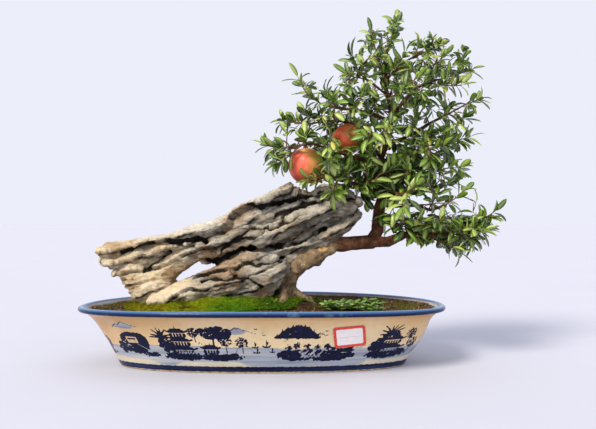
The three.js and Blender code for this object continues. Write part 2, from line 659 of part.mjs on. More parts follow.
// Small leaves stand up in pairs along the runner.
function weeds() {
  const random = randomFrom(SEED + 5);
  const runner = WEED_RUNNER.map(([x, y, height]) => [x, y, 91 + mound(x, y) + height, 1.2]);
  const spray = { ...layOut(runner, 0.12, 0.88, WEED_NODES, random), wholes: [], leaves: [] };
  for (let node = 0; node < WEED_NODES; node++) {
    for (let face = 0; face < 4; face++) {
      const place = { ring: 2 * node + 1, face };
      const corners = cornersOf(place, spray.rings);
      const { base, out } = footOf(corners);
      if (out.z < 0.2) continue;
      const aim = out.clone().add(new THREE.Vector3(between(random, [-0.3, 0.3]), 0, 0.1)).normalize();
      const up = new THREE.Vector3(0, 0, 1).addScaledVector(aim, -aim.z).normalize();
      const leaf = { base, aim, up, length: between(random, [10, 15]), halfWidth: 3 };
      const whole = solidOf([...leafSides(corners, leaf), ...closing(corners)]);
      if (!clearOf(whole, spray.wholes)) continue;
      spray.wholes.push({ body: whole, box: boxOf(whole) });
      spray.leaves.push({ ...place, leaf });
    }
  }
  return sprayBody(spray);
}

function pebble() {
  const geometry = new THREE.DodecahedronGeometry(1, 0);
  geometry.scale(...PEBBLE.size);
  geometry.translate(...PEBBLE.centre);
  return solid(geometry);
}

// Half-length of the tray's outside wall at a height.
function wallReach(height) {
  const wall = TRAY_PROFILE.slice(3, 10);
  const k = Math.max(0, wall.findIndex(([, z]) => z > height) - 1);
  const [[r0, z0], [r1, z1]] = [wall[k], wall[k + 1]];
  return r0 + ((r1 - r0) * (height - z0)) / (z1 - z0);
}

// Point on the front wall at a given x and height, moved out from the wall by `lift`.
function onFrontWall(x, height, lift) {
  const at = (px, z) => {
    const reach = wallReach(z);
    return ovalPoint(reach, -Math.acos((px / reach) ** (TRAY_POWER / 2)), z);
  };
  const point = at(x, height);
  const normal = at(x + 1, height).sub(point).cross(at(x, height + 1).sub(point)).normalize();
  return point.addScaledVector(normal, lift);
}

// Paper label following the flare and curve of the front wall.
function label() {
  const geometry = new THREE.BoxGeometry(1, 1, 1, 4, 1, 3);
  const position = geometry.attributes.position;
  const c = Math.cos(LABEL_TURN);
  const s = Math.sin(LABEL_TURN);
  for (let i = 0; i < position.count; i++) {
    const u = LABEL_SIZE[0] * position.getX(i);
    const v = LABEL_SIZE[1] * position.getZ(i);
    const lift = GAP + 0.25 + (position.getY(i) < 0 ? LABEL_THICK : 0);
    const point = onFrontWall(LABEL_AT[0] + u * c - v * s, LABEL_AT[1] + u * s + v * c, lift);
    position.setXYZ(i, point.x, point.y, point.z);
  }
  return solid(geometry);
}

// ---- assembly ----

const COLOURS = {
  glaze: ['#d8d2c0', 0.25], screen: ['#3a3d3a', 0.6], soil: ['#3b2a1c', 0.95], moss: ['#4c7021', 0.95],
  stone: ['#8b8374', 0.9], bark: ['#7a5f45', 0.85], leaf: ['#3d6b2c', 0.45], fruit: ['#c4593a', 0.5],
  weed: ['#5f8f45', 0.6], pebble: ['#c8a57c', 0.8], paper: ['#f2efe9', 0.8],
};

function mesh(name, body, look) {
  const { vertProperties, triVerts } = body.getMesh();
  const geometry = new THREE.BufferGeometry();
  geometry.setAttribute('position', new THREE.BufferAttribute(vertProperties, 3));
  geometry.setIndex(new THREE.BufferAttribute(triVerts, 1));
  const [color, roughness] = COLOURS[look];
  const made = new THREE.Mesh(geometry, new THREE.MeshStandardMaterial({ color, roughness, metalness: 0 }));
  made.name = name;
  return made;
}

const woodClear = wood(GAP);
const stoneClear = stone(GAP);
const soilClear = soil(GAP);
const fruitClears = FRUITS.map((one) => fruit(one, GAP));
const tree = fruitClears.reduce((body, one) => body.subtract(one), wood(0));
const pocket = SCREEN_SIDE + 2 * GAP;
const screenPockets = [-HOLE_X, HOLE_X]
  .map((x) => block(pocket, pocket, 2 * (SCREEN_THICK + GAP), x, 0, FLOOR + GAP));
const ground = [woodClear, stoneClear, ...screenPockets].reduce((body, one) => body.subtract(one), soil(0));
const mossMat = [woodClear, stoneClear, soilClear].reduce((body, one) => body.subtract(one), moss());

const bonsai = new THREE.Group();
bonsai.add(
  mesh('tray', tray(), 'glaze'),
  mesh('drain_screen_left', drainScreen(-HOLE_X), 'screen'),
  mesh('drain_screen_right', drainScreen(HOLE_X), 'screen'),
  mesh('soil', largest(ground), 'soil'),
  mesh('moss', largest(mossMat), 'moss'),
  mesh('stone', largest(stone(0).subtract(woodClear)), 'stone'),
  mesh('tree', largest(tree), 'bark'),
  mesh('weeds', largest(weeds().subtract(soilClear)), 'weed'),
  mesh('pebble', largest(pebble().subtract(soilClear)), 'pebble'),
  mesh('paper_label', label(), 'paper'),
);
for (const one of FRUITS) bonsai.add(mesh(one.name, fruit(one, 0), 'fruit'));
for (const { name, body } of sprays([woodClear, stoneClear, ...fruitClears])) {
  bonsai.add(mesh(name, body, 'leaf'));
}

// The origin is under the middle of the whole, on the surface it stands on.
const box = new THREE.Box3().setFromObject(bonsai);
bonsai.position.set(-(box.min.x + box.max.x) / 2, -(box.min.y + box.max.y) / 2, 0);

export default bonsai;
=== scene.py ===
"""Surfaces and fine shapes of a pomegranate bonsai: its painted tray, stone, bark, leaves, moss and fruit."""

import json
import math
import random

import bmesh
import bpy
import numpy as np
from bpy.props import FloatProperty, FloatVectorProperty, IntProperty, PointerProperty
from mathutils import Euler, Matrix, Vector
from mathutils.bvhtree import BVHTree

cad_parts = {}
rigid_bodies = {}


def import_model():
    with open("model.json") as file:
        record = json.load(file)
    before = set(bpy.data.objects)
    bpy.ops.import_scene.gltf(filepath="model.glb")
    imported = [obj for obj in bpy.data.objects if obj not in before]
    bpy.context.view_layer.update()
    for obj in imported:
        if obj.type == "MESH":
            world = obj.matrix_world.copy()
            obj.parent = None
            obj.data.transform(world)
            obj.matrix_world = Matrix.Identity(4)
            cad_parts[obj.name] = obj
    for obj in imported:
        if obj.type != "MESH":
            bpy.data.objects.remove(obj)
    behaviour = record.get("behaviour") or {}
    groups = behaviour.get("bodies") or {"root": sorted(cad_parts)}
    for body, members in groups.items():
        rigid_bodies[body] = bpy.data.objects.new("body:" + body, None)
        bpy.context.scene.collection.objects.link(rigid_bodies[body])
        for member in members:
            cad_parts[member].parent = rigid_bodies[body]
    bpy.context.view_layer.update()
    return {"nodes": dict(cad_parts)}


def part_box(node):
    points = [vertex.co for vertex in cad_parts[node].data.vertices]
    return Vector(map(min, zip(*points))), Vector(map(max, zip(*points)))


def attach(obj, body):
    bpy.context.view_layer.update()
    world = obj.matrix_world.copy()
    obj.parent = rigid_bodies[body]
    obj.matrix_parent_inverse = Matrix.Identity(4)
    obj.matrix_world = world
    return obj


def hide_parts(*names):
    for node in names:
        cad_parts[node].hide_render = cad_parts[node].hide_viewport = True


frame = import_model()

bl_info = {
    "name": "Pomegranate bonsai",
    "version": (1, 0, 0),
    "blender": (4, 5, 0),
    "location": "3D View > Sidebar > Bonsai",
    "description": "Dresses the bonsai's solids with their fine shapes and finishes",
    "category": "Object",
}

MM = 0.001
TRAY_LOW, TRAY_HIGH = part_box("tray")
MIDDLE = np.array([(TRAY_LOW.x + TRAY_HIGH.x) / 2, (TRAY_LOW.y + TRAY_HIGH.y) / 2, 0.0])

# The tray's oval, as in its solid: half-length and half-depth at the rim and at the foot.
OVAL_POWER = 2.3
RIM_LENGTH, RIM_DEPTH, RIM_HEIGHT, END_DIP = 300.0, 160.0, 103.0, 6.0
FOOT_LENGTH, FOOT_DEPTH = 236.0, 88.0
# The half-length at which distance round the wall is measured, and that of the foot ring's inner edge.
PAINT_REACH, UNDER_REACH = 266.0, 218.0
# The drain holes' distance from the middle, their radius, and the heights of the underside and the floor.
DRAIN_AT, DRAIN_RADIUS, DRAIN_LEVELS = 120, 9, (5.0, 14.0)
# How much fuller the wall is at the right end than in the solid, and the height of the top of the lip.
FULLER_END = 5.6
LIP_TOP = 103.2

# Half-length and height of the tray's section, from the foot up the wall and over the lip to the floor.
WALL_LINE = [(219, 0.6), (221, 0), (232, 0), (233.5, 0.6), (238, 8), (243.2, 20), (249, 32), (255, 43.5),
             (261.6, 55), (268, 66.5), (276, 79.2), (284.6, 88.8), (291.6, 93.4)]
LIP_LINE = [(293.2, 94.1), (296.6, 94.3), (299.1, 96.3), (299.9, 99), (298.8, 101.8), (296, LIP_TOP),
            (292.4, 102.9), (289.3, 101.2)]
INNER_LINE = [(286.5, 98), (283, 93), (275.5, 86), (267, 78), (257, 64), (247, 50), (236.5, 33), (226, 16),
              (221, 14)]

FRUITS = {
    "pomegranate_low": dict(centre=(71, -8, 325), radius=29.5, crown=(0.62, -0.55, -0.56)),
    "pomegranate_high": dict(centre=(139, -16, 369), radius=24, crown=(0.25, -0.9, 0.3)),
}
WEED_RUNNER = [(102, -64, -4), (112, -58, 2.4), (128, -66, 3), (146, -58, 3), (164, -66, 3), (182, -58, 2.4),
               (194, -62, -4)]
# Lumps that close the stone's seams: centre, half sizes and lean.
STONE_LUMPS = [((-176, 0, 171), (26, 26, 10), 0.5), ((-55, 0, 175), (30, 26, 7), 0.35),
               ((138, 0, 242), (22, 20, 10), 0.6), ((60, 0, 200), (50, 26, 9), 0.45),
               ((46, -4, 176), (24, 24, 13), 0.5)]
# Deep crevices in the stone's front: half-width, depth and a line of x and z.
CREVICES = [
    (2.9, 7, [(-230, 181), (-207, 190), (-180, 198), (-154, 202), (-131, 201), (-105, 204), (-84, 202)]),
    (3.7, 8, [(-86, 172), (-63, 174), (-45, 183), (-26, 190), (-3, 193), (12, 192), (35, 195), (57, 201),
              (80, 211), (103, 220)]),
    (2.6, 6, [(-63, 188), (-41, 206), (-22, 218), (-3, 220), (16, 222), (42, 235), (72, 246)]),
    (3.0, 7, [(-20, 261), (-3, 257), (16, 260), (35, 266), (57, 270), (80, 277)]),
    (2.2, 5, [(20, 243), (42, 251), (62, 262), (88, 268)]),
    (2.4, 5, [(-148, 184), (-165, 171), (-188, 154)]),
    (2.4, 6, [(-94, 137), (-67, 142), (-52, 144), (-37, 150), (-18, 143), (1, 132)]),
    (2.0, 5, [(-30, 168), (-8, 162), (10, 170), (34, 172)]),
]
# The soil's oval: its length to its depth, its half-length, and the top of its bank.
SOIL_FLATNESS, SOIL_REACH, BANK_TOP = 2.03, 281, 98.7
# The label: its size, its middle as x and z, its turn, and the radius of its corners.
LABEL_SIZE, LABEL_AT, LABEL_TURN, LABEL_CORNER = (48.4, 34.8), (140.0, 60.6), 0.085, 4.2
# A leaf as its solid has it, in parts of its length: from the ring of corners to the tip, the droop of the
# tip, from the base to the ring, and the lift of the ring. LEAF_HALF is half its greatest width.
LEAF_TIP, LEAF_DROOP, LEAF_RING, LEAF_LIFT, LEAF_HALF = 0.4576, 0.1257, 0.56, 0.01434, 0.178
# How thick and how wide such a leaf can be at that ring, in metres.
LEAF_THICK, LEAF_WIDE = (0.0008, 0.0015), (0.0068, 0.0105)
# Outline of the crown from the front as x and z, and the clearings in it as x, z and radius.
CROWN_LINE = [(221, 577), (235, 561), (241, 541), (260, 538), (303, 539), (321, 526), (339, 513), (355, 491),
              (349, 468), (318, 461), (296, 448), (293, 428), (323, 425), (354, 434), (342, 415), (318, 398),
              (329, 379), (352, 374), (319, 355), (323, 339), (337, 319), (339, 296), (319, 299), (332, 281),
              (359, 274), (388, 259), (380, 223), (366, 205), (342, 184), (313, 188), (279, 202), (243, 200),
              (220, 213), (202, 226), (187, 243), (163, 248), (143, 254), (119, 262), (90, 274), (61, 284),
              (36, 312), (8, 327), (-4, 357), (14, 382), (34, 410), (47, 430), (67, 446), (59, 468), (110, 459),
              (137, 488), (147, 518), (162, 538), (172, 555), (197, 560)]
CLEARINGS = [(188, 377, 8), (201, 364, 7), (212, 386, 6), (243, 531, 9), (318, 444, 15), (326, 299, 9),
             (202, 468, 8), (154, 221, 20), (223, 515, 6), (304, 319, 6), (279, 402, 6)]
# The crown's upright middle line as x, its greatest depth to the front, and how many places in it are tried.
CROWN_AXIS, CROWN_DEPTH, CROWN_TRIES = 205.0, 100.0, 26000
# In metres: the longest side shoot, the shortest, and the length from which its foot is bare.
SHOOT_REACH, SHOOT_LEAST, SHOOT_BARE = 0.062, 0.01, 0.025
# The camera's place, lens and shift.
CAMERA_AT, LENS, SHIFT = (107, -1220, 236), 44.46, (-0.0503, 0.0092)


# ---- sizes and colours that can be changed ----


def millimetres(name, description, default, low=0.0, high=500.0):
    return FloatProperty(name=name, description=description, default=default * MM, min=low * MM, max=high * MM,
                         unit="LENGTH", precision=4)


def amount(name, description, default, **more):
    return FloatProperty(name=name, description=description, default=default, **more)


def number(name, description, default, low=0, high=10000):
    return IntProperty(name=name, description=description, default=default, min=low, max=high)


def colour(name, description, code):
    return FloatVectorProperty(name=name, description=description, default=hue(code)[:3], size=3, min=0.0,
                               max=1.0, subtype="COLOR")


def hue(code):
    """A web colour as linear RGBA."""
    parts = [int(code[k:k + 2], 16) / 255 for k in (1, 3, 5)]
    return tuple(c / 12.92 if c <= 0.04045 else ((c + 0.055) / 1.055) ** 2.4 for c in parts) + (1.0,)


class TraySettings(bpy.types.PropertyGroup):
    around: number("Columns", "Mesh columns round the tray", 860, 96, 1400)
    paint_seed: number("Paint seed", "Changes the hand of the painted scenery", 7)
    cobalt: colour("Cobalt", "Blue of the painting, the lip and the foot band", "#080d2a")
    cream: colour("Glaze", "Glaze on the middle of the wall", "#ead3a6")


class StoneSettings(bpy.types.PropertyGroup):
    grain: millimetres("Mesh size", "Size of the stone's mesh faces", 2.1, 1, 8)
    bed: millimetres("Layer", "Mean thickness of one layer of the stone", 19, 4, 40)
    ledge: millimetres("Ledge", "How far a layer stands proud of the next", 9.5, 0, 14)
    slope: amount("Slope", "Tilt of the layers along the stone", math.radians(20), subtype="ANGLE")
    # The pale colour goes on the pale cap, and also on the upward faces as painted light.
    pale: colour("Pale", "Weathered upper faces", "#ded3bb")
    tan: colour("Tan", "Warm lower left faces", "#fbdfae")


class TreeSettings(bpy.types.PropertyGroup):
    grain: millimetres("Mesh size", "Size of the bark's mesh faces", 1.3, 0.8, 5)
    knobs: millimetres("Knobs", "Height of the knobs on the lower trunk", 4.0, 0, 6)
    old_bark: colour("Old bark", "Lower trunk and roots", "#97805f")
    young_bark: colour("Young bark", "Limbs and twigs", "#50301f")


class LeafSettings(bpy.types.PropertyGroup):
    extra: number("More leaves", "Leaves added to each spray", 14, 0, 40)
    spurs: number("Spurs", "Short leafy spurs along the limbs", 104, 0, 400)
    shoots: number("Shoots", "Side shoots that fill the crown", 300, 0, 900)
    spacing: millimetres("Spacing", "Room left between the leaves of different shoots", 16, 6, 60)
    longest: millimetres("Longest leaf", "Length of the longest added leaf", 28, 8, 60)
    shortest: millimetres("Shortest leaf", "Length of the shortest added leaf", 16, 4, 60)
    # The dark green also goes on leaves deep inside the crown, as painted shade.
    dark: colour("Dark green", "Old leaves", "#304a10")
    light: colour("Light green", "Young leaves", "#b9ca66")


class GroundSettings(bpy.types.PropertyGroup):
    grains: amount("Grains", "Grains of soil to a square metre", 76000, min=0)
    tufts: amount("Tufts", "Moss tufts to a square metre", 172000, min=0)
    grain_size: millimetres("Grain", "Size of a coarse grain of soil", 2.4, 0.5, 8)
    tuft_height: millimetres("Tuft", "Height of a moss tuft", 3.4, 1, 12)
    soil_colour: colour("Soil", "Damp bare soil", "#2f2115")


class FruitSettings(bpy.types.PropertyGroup):
    around: number("Columns", "Mesh columns round a fruit", 96, 24, 256)
    blush: colour("Blush", "Sunny side of the lower fruit", "#e9624a")
    ripe: colour("Ripe", "Skin of the upper fruit", "#b84a1c")


class StageSettings(bpy.types.PropertyGroup):
    floor: amount("Floor", "Radius of the floor", 40.0, min=1, unit="LENGTH")
    key: amount("Key light", "Strength of the main light", 3.6, min=0)
    fill: amount("Fill light", "Strength of the fill light", 0.5, min=0)
    sky: amount("Surround", "Strength of the even light all round", 1.0, min=0)


# ---- places, noise and meshes ----


def spots(points):
    """Points measured from the middle of the tray's foot in millimetres, as places in the frame in metres."""
    return np.asarray(points, float) * MM + MIDDLE


def from_tray(points):
    """Places in the frame in metres, measured from the middle of the tray's foot in millimetres."""
    return (np.asarray(points, float) - MIDDLE) / MM


def smooth(low, high, value):
    part = np.clip((value - low) / (high - low), 0, 1)
    return part * part * (3 - 2 * part)


def lattice(points, seed):
    """Smooth seeded noise from -1 to 1, one lump to a unit."""
    cell = np.floor(points).astype(np.int64)
    part = points - cell
    part = part * part * (3 - 2 * part)
    total = np.zeros(len(points))
    for dx in (0, 1):
        for dy in (0, 1):
            for dz in (0, 1):
                key = ((cell[:, 0] + dx) * 374761393 + (cell[:, 1] + dy) * 668265263
                       + (cell[:, 2] + dz) * 1442695041 + seed * 974711) & 0xFFFFFFFF
                key = ((key ^ (key >> 13)) * 1274126177) & 0xFFFFFFFF
                key = key ^ (key >> 16)
                weight = (np.where(dx, part[:, 0], 1 - part[:, 0]) * np.where(dy, part[:, 1], 1 - part[:, 1])
                          * np.where(dz, part[:, 2], 1 - part[:, 2]))
                total += weight * ((key & 0xFFFF) / 32767.5 - 1)
    return total


def cloud(points, seed, layers=3):
    """Several sizes of noise on top of each other."""
    return sum(lattice(points * 2 ** k, seed + 31 * k) * 0.5 ** k for k in range(layers))


def coordinates(mesh):
    flat = np.empty(3 * len(mesh.vertices))
    mesh.vertices.foreach_get("co", flat)
    return flat.reshape(-1, 3)


def directions(mesh):
    flat = np.empty(3 * len(mesh.vertices))
    mesh.vertex_normals.foreach_get("vector", flat)
    return flat.reshape(-1, 3)


def move_to(mesh, points):
    mesh.vertices.foreach_set("co", points.ravel())
    mesh.update()


def beside(x, z, start, end):
    """The nearest point of a straight line to each place: how far along it is, and the offsets from it."""
    dx, dz = end[0] - start[0], end[1] - start[1]
    part = np.clip(((x - start[0]) * dx + (z - start[1]) * dz) / (dx * dx + dz * dz + 1e-9), 0, 1)
    return part, x - start[0] - part * dx, z - start[1] - part * dz


def store(mesh, name, values, kind="FLOAT"):
    """Values at the mesh's points, for its finish or its node tree to read."""
    attribute = mesh.attributes.new(name, kind, "POINT")
    field = "vector" if kind == "FLOAT_VECTOR" else "value"
    attribute.data.foreach_set(field, np.asarray(values).ravel())


def piece_from(name, points, faces, finish=None):
    mesh = bpy.data.meshes.new(name)
    mesh.from_pydata([tuple(p) for p in points], [], [tuple(f) for f in faces])
    return piece_of(name, mesh, finish)


def piece_of(name, mesh, finish=None):
    piece = bpy.data.objects.new(name, mesh)
    bpy.context.scene.collection.objects.link(piece)
    if finish:
        mesh.materials.append(finish)
    mesh.shade_smooth()
    return piece


def mesh_of(name, shape):
    """A finished bmesh as a plain mesh."""
    mesh = bpy.data.meshes.new(name)
    shape.to_mesh(mesh)
    shape.free()
    return mesh


def discard(piece):
    mesh = piece.data
    bpy.data.objects.remove(piece)
    bpy.data.meshes.remove(mesh)


def ring_faces(rings, around):
    """Faces between closed rings that each have so many points around."""
    return [(a, b, b + around, a + around) for k in range(rings - 1) for j in range(around)
            for a, b in [(k * around + j, k * around + (j + 1) % around)]]


def face_out(piece):
    shape = bmesh.new()
    shape.from_mesh(piece.data)
    bmesh.ops.recalc_face_normals(shape, faces=shape.faces)
    shape.to_mesh(piece.data)
    shape.free()


def merged_copy(node, name):
    """A CAD node's mesh with its loose triangles joined up, as a new piece."""
    shape = bmesh.new()
    shape.from_mesh(frame["nodes"][node].data)
    bmesh.ops.remove_doubles(shape, verts=shape.verts, dist=1e-5)
    return piece_of(name, mesh_of(name, shape))


def make_plain(piece):
    """Puts the mesh that a piece's modifiers give in place of the modifiers."""
    bpy.context.view_layer.update()
    graph = bpy.context.evaluated_depsgraph_get()
    plain = bpy.data.meshes.new_from_object(piece.evaluated_get(graph), preserve_all_data_layers=True,
                                            depsgraph=graph)
    old = piece.data
    piece.modifiers.clear()
    piece.data = plain
    bpy.data.meshes.remove(old)
    plain.name = piece.name
    return piece


def even_copy(node, name, size, lumps=()):
    """A CAD node remade with small even faces, with oval lumps grown into it, and its points and directions."""
    piece = merged_copy(node, name)
    shape = bmesh.new()
    shape.from_mesh(piece.data)
    for centre, half, lean in lumps:
        turn = Matrix.Translation(spots(centre)) @ Matrix.Rotation(-lean, 4, "Y")
        turn = turn @ Matrix.Diagonal((*(h * MM for h in half), 1))
        bmesh.ops.create_icosphere(shape, subdivisions=3, radius=1, matrix=turn)
    shape.to_mesh(piece.data)
    shape.free()
    remesh = piece.modifiers.new("Even faces", "REMESH")
    remesh.mode = "VOXEL"
    remesh.voxel_size = size
    make_plain(piece)
    piece.data.shade_smooth()
    return piece, from_tray(coordinates(piece.data)), directions(piece.data)


def settle(piece, slot, *nodes):
    """Fixes a finished piece to the part, in place of the solids that it stands for."""
    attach(piece, "root")
    if nodes:
        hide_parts(*nodes)


def tube(path, radii, sides=6):
    """Points and faces of a closed tube along a path."""
    path = np.asarray(path, float)
    heading = np.gradient(path, axis=0)
    heading /= np.linalg.norm(heading, axis=1, keepdims=True)
    side = np.cross(heading[0], (0.31, 0.17, 0.93))
    points = []
    for k, (centre, way) in enumerate(zip(path, heading)):
        side = side - way * side.dot(way)
        side /= np.linalg.norm(side)
        other = np.cross(way, side)
        for j in range(sides):
            angle = 2 * math.pi * j / sides
            points.append(centre + radii[k] * (math.cos(angle) * side + math.sin(angle) * other))
    faces = ring_faces(len(path), sides)
    faces.append(tuple(range(sides))[::-1])
    faces.append(tuple(range((len(path) - 1) * sides, len(path) * sides)))
    return points, faces


# ---- finishes ----


class Finish:
    """One finish, built up from short calls that each add a node."""

    def __init__(self, name):
        self.material = bpy.data.materials.new(name)
        self.material.use_nodes = True
        self.tree = self.material.node_tree
        self.shader = self.tree.nodes["Principled BSDF"]
        self.place = self.add("ShaderNodeTexCoord").outputs["Object"]

    def add(self, kind, inputs=(), **settings):
        node = self.tree.nodes.new(kind)
        for name, value in settings.items():
            setattr(node, name, value)
        for socket, value in dict(inputs).items():
            self.feed(node.inputs[socket], value)
        return node

    def feed(self, socket, value):
        """Gives a socket a value, what another node gives, or what is stored under a name at the points."""
        if isinstance(value, str):
            value = self.value(value)
        if isinstance(value, bpy.types.NodeSocket):
            self.tree.links.new(value, socket)
        else:
            socket.default_value = value

    def stretched(self, scale, turn=(0.0, 0.0, 0.0)):
        inputs = {"Vector": self.place, "Scale": scale, "Rotation": turn}
        return self.add("ShaderNodeMapping", inputs).outputs["Vector"]

    def across(self):
        """How far to the right of the tray's middle, in metres."""
        along = self.add("ShaderNodeSeparateXYZ", {"Vector": self.place}).outputs[0]
        return self.sum("SUBTRACT", along, float(MIDDLE[0]))

    def value(self, name):
        return self.add("ShaderNodeAttribute", attribute_name=name).outputs["Fac"]

    def noise(self, scale, detail=3.0, rough=0.55, warp=0.0, vector=None):
        inputs = {"Vector": vector or self.place, "Scale": scale, "Detail": detail, "Roughness": rough,
                  "Distortion": warp}
        return self.add("ShaderNodeTexNoise", inputs).outputs["Fac"]

    def cells(self, scale):
        return self.add("ShaderNodeTexVoronoi", {"Vector": self.place, "Scale": scale}).outputs["Distance"]

    def ramp(self, fac, *stops):
        """Colours at places from 0 to 1 along a value."""
        node = self.add("ShaderNodeValToRGB", {"Fac": fac})
        band = node.color_ramp
        while len(band.elements) < len(stops):
            band.elements.new(0.5)
        for element, (at, tint) in zip(band.elements, stops):
            element.position = at
            element.color = hue(tint) if isinstance(tint, str) else tuple(tint)[:3] + (1.0,)
        return node.outputs["Color"]

    def level(self, fac, low, high, start=0.0, end=1.0):
        """A value from start to end while fac goes from low to high."""
        inputs = {"Value": fac, "From Min": low, "From Max": high, "To Min": start, "To Max": end}
        return self.add("ShaderNodeMapRange", inputs).outputs["Result"]

    def blend(self, fac, first, second):
        node = self.add("ShaderNodeMix", data_type="RGBA")
        self.feed(node.inputs[0], fac)
        for socket, value in ((6, first), (7, second)):
            if isinstance(value, str):
                value = hue(value)
            elif not isinstance(value, bpy.types.NodeSocket):
                value = tuple(value)[:3] + (1.0,)
            self.feed(node.inputs[socket], value)
        return node.outputs[2]

    def lay(self, fac, tint):
        """Lays a tint over the body colour."""
        self.body = self.blend(fac, self.body, tint)

    def over(self, fac, low, high, share, tint):
        """Lays a tint over the body colour, from nothing to its share while fac goes from low to high."""
        self.lay(self.level(fac, low, high, 0.0, share), tint)

    def sum(self, kind, *values):
        node = self.add("ShaderNodeMath", operation=kind)
        for socket, value in enumerate(values):
            self.feed(node.inputs[socket], value)
        return node.outputs[0]

    def bump(self, height, depth, strength=1.0, under=None):
        inputs = {"Height": height, "Distance": depth, "Strength": strength}
        if under:
            inputs["Normal"] = under
        return self.add("ShaderNodeBump", inputs).outputs["Normal"]

    def done(self, rough, normal=None, **constants):
        self.feed(self.shader.inputs["Base Color"], self.body)
        self.feed(self.shader.inputs["Roughness"], rough)
        if normal:
            self.feed(self.shader.inputs["Normal"], normal)
        for name, value in constants.items():
            self.shader.inputs[name.replace("_", " ")].default_value = value
        return self.material


def glaze_finish(settings):
    """Blue and white glaze: bands by height, cobalt drawing with crisp edges, pale washes, painted shade and
    highlights on the lip.
    """
    look = Finish("glaze")
    height = look.value("height")
    mottle = look.noise(14, 5, 0.6)
    look.body = look.ramp(height, (0.0, "#a9a698"), (0.13, "#c3bdab"), (0.25, "#d3c8ad"), (0.42, settings.cream),
                          (0.7, "#e7cc9c"), (0.84, "#dcb681"), (0.93, "#b98a52"))
    across = look.across()
    ends = look.sum("ADD", look.level(across, -0.09, -0.25, 0.0, 0.75), look.level(across, 0.17, 0.27, 0.0, 0.6))
    look.lay(look.sum("MULTIPLY", ends, look.level(height, 0.1, 0.5)), "#c48f50")
    look.over(mottle, 0.42, 0.7, 0.35, "#ecdfc2")
    look.over(look.noise(90, 4), 0.5, 0.75, 0.3, "#c79c62")
    look.over(look.cells(420), 0.1, 0.0, 0.3, "#7c6a50")
    streaks = look.noise(1.0, 5, 0.6, 0.3, look.stretched((7, 7, 150)))
    water = look.ramp(streaks, (0.32, "#66738f"), (0.48, "#8b95a8"), (0.6, "#a3abb6"), (0.72, "#c3c3be"))
    look.over("wash", 0.38, 0.66, 0.9, water)
    cobalt = look.blend(look.level(look.noise(120, 4), 0.45, 0.75, 0.0, 0.4), settings.cobalt, "#182457")
    look.lay(look.level("ink", 0.47, 0.53), cobalt)
    foot_band = look.sum("MULTIPLY", look.level(height, 0.125, 0.105), look.level("ink", 0.47, 0.53))
    look.lay(look.sum("MULTIPLY", foot_band, look.level(streaks, 0.4, 0.7, 0.0, 0.5)), "#3b4c78")
    # The lip's blue is painted shade towards its underside, dark navy, and a painted highlight at its top, light
    # blue; the pale noise patches over it are painted highlights.
    band = look.ramp(height, (0.912, "#060a22"), (0.94, "#0b1536"), (0.965, "#1b315c"), (0.99, "#44668f"),
                     (1.0, "#6a89ab"))
    band = look.blend(look.level(look.noise(34, 5), 0.56, 0.74, 0.0, 0.5), band, "#7d97b5")
    look.lay("lip", band)
    inner = look.ramp(mottle, (0.35, "#7d8590"), (0.65, "#a3a8a8"))
    # The inner wall is painted darker brown lower down, towards the soil.
    mottled_height = look.sum("ADD", height, look.sum("MULTIPLY", mottle, 0.16))
    inner = look.blend(look.level(mottled_height, 1.04, 0.97, 0.0, 0.9), inner, "#43382a")
    look.lay("inside", inner)
    foot = look.blend(look.level(look.noise(150, 4), 0.45, 0.6), "#c9a878", "#8d7350")
    look.lay("foot", foot)
    rough = look.level("foot", 0, 1, 0.22, 0.8)
    wobble = look.bump(look.noise(26, 3), 0.0012, 0.5)
    normal = look.bump("ink", 0.00025, 0.3, wobble)
    return look.done(rough, normal, Specular_IOR_Level=0.12, Coat_Weight=0.06, Coat_Roughness=0.08)


def stone_finish(settings):
    """Layered weathered stone: a pale cap, upward faces made paler as painted light, grey and tan faces, painted
    shade in crevices and under ledges, fine beds with painted highlights.
    """
    look = Finish("weathered_stone")
    turn = (0, -settings.slope, 0)
    streaks = look.noise(1.0, 7, 0.64, 0.5, look.stretched((15, 20, 44), turn))
    fine = look.noise(1.0, 8, 0.7, 0.8, look.stretched((48, 60, 130), turn))
    patches = look.noise(16, 4, 0.5, 0.3)
    grey = look.ramp(streaks, (0.3, "#635c52"), (0.43, "#928878"), (0.56, "#b8ae9a"), (0.7, "#e0d8c7"))
    pale = look.ramp(streaks, (0.28, "#a59a82"), (0.43, settings.pale), (0.7, "#f5efdf"))
    tan = look.ramp(streaks, (0.28, "#d3a56b"), (0.42, settings.tan), (0.72, "#fff3da"))
    # Pale: the cap's own colour, and painted light on upward faces.
    look.body = look.blend("pale", grey, pale)
    look.lay("warm", tan)
    look.lay(look.sum("MULTIPLY", look.level(patches, 0.54, 0.66), 0.55), "#b3854c")
    dark = look.level("warm", 0.0, 1.0, 1.0, 0.45)
    specks = look.level(look.noise(230, 5, 0.7), 0.52, 0.68, 0.0, 0.5)
    look.lay(look.sum("MULTIPLY", specks, dark), "#554a3d")
    look.over(look.cells(240), 0.2, 0.0, 0.4, "#ddd3bd")
    # Painted shade: thin dark lines along the fine beds, as in narrow crevices, fainter on the warm part.
    look.lay(look.sum("MULTIPLY", look.level(fine, 0.3, 0.44, 0.9, 0.0), dark), "#2b2119")
    # Painted highlights: pale streaks along the fine beds.
    look.over(fine, 0.6, 0.74, 0.55, "#efe7d6")
    # Painted shade in the recesses.
    look.over("recess", 0.25, 0.75, 0.96, "#18110b")
    seams = look.bump(fine, 0.006, 1.0)
    pits = look.bump(look.noise(210, 6, 0.75), 0.0045, 1.0, seams)
    return look.done(look.level(patches, 0.3, 0.7, 0.85, 0.97), pits, Specular_IOR_Level=0.2)


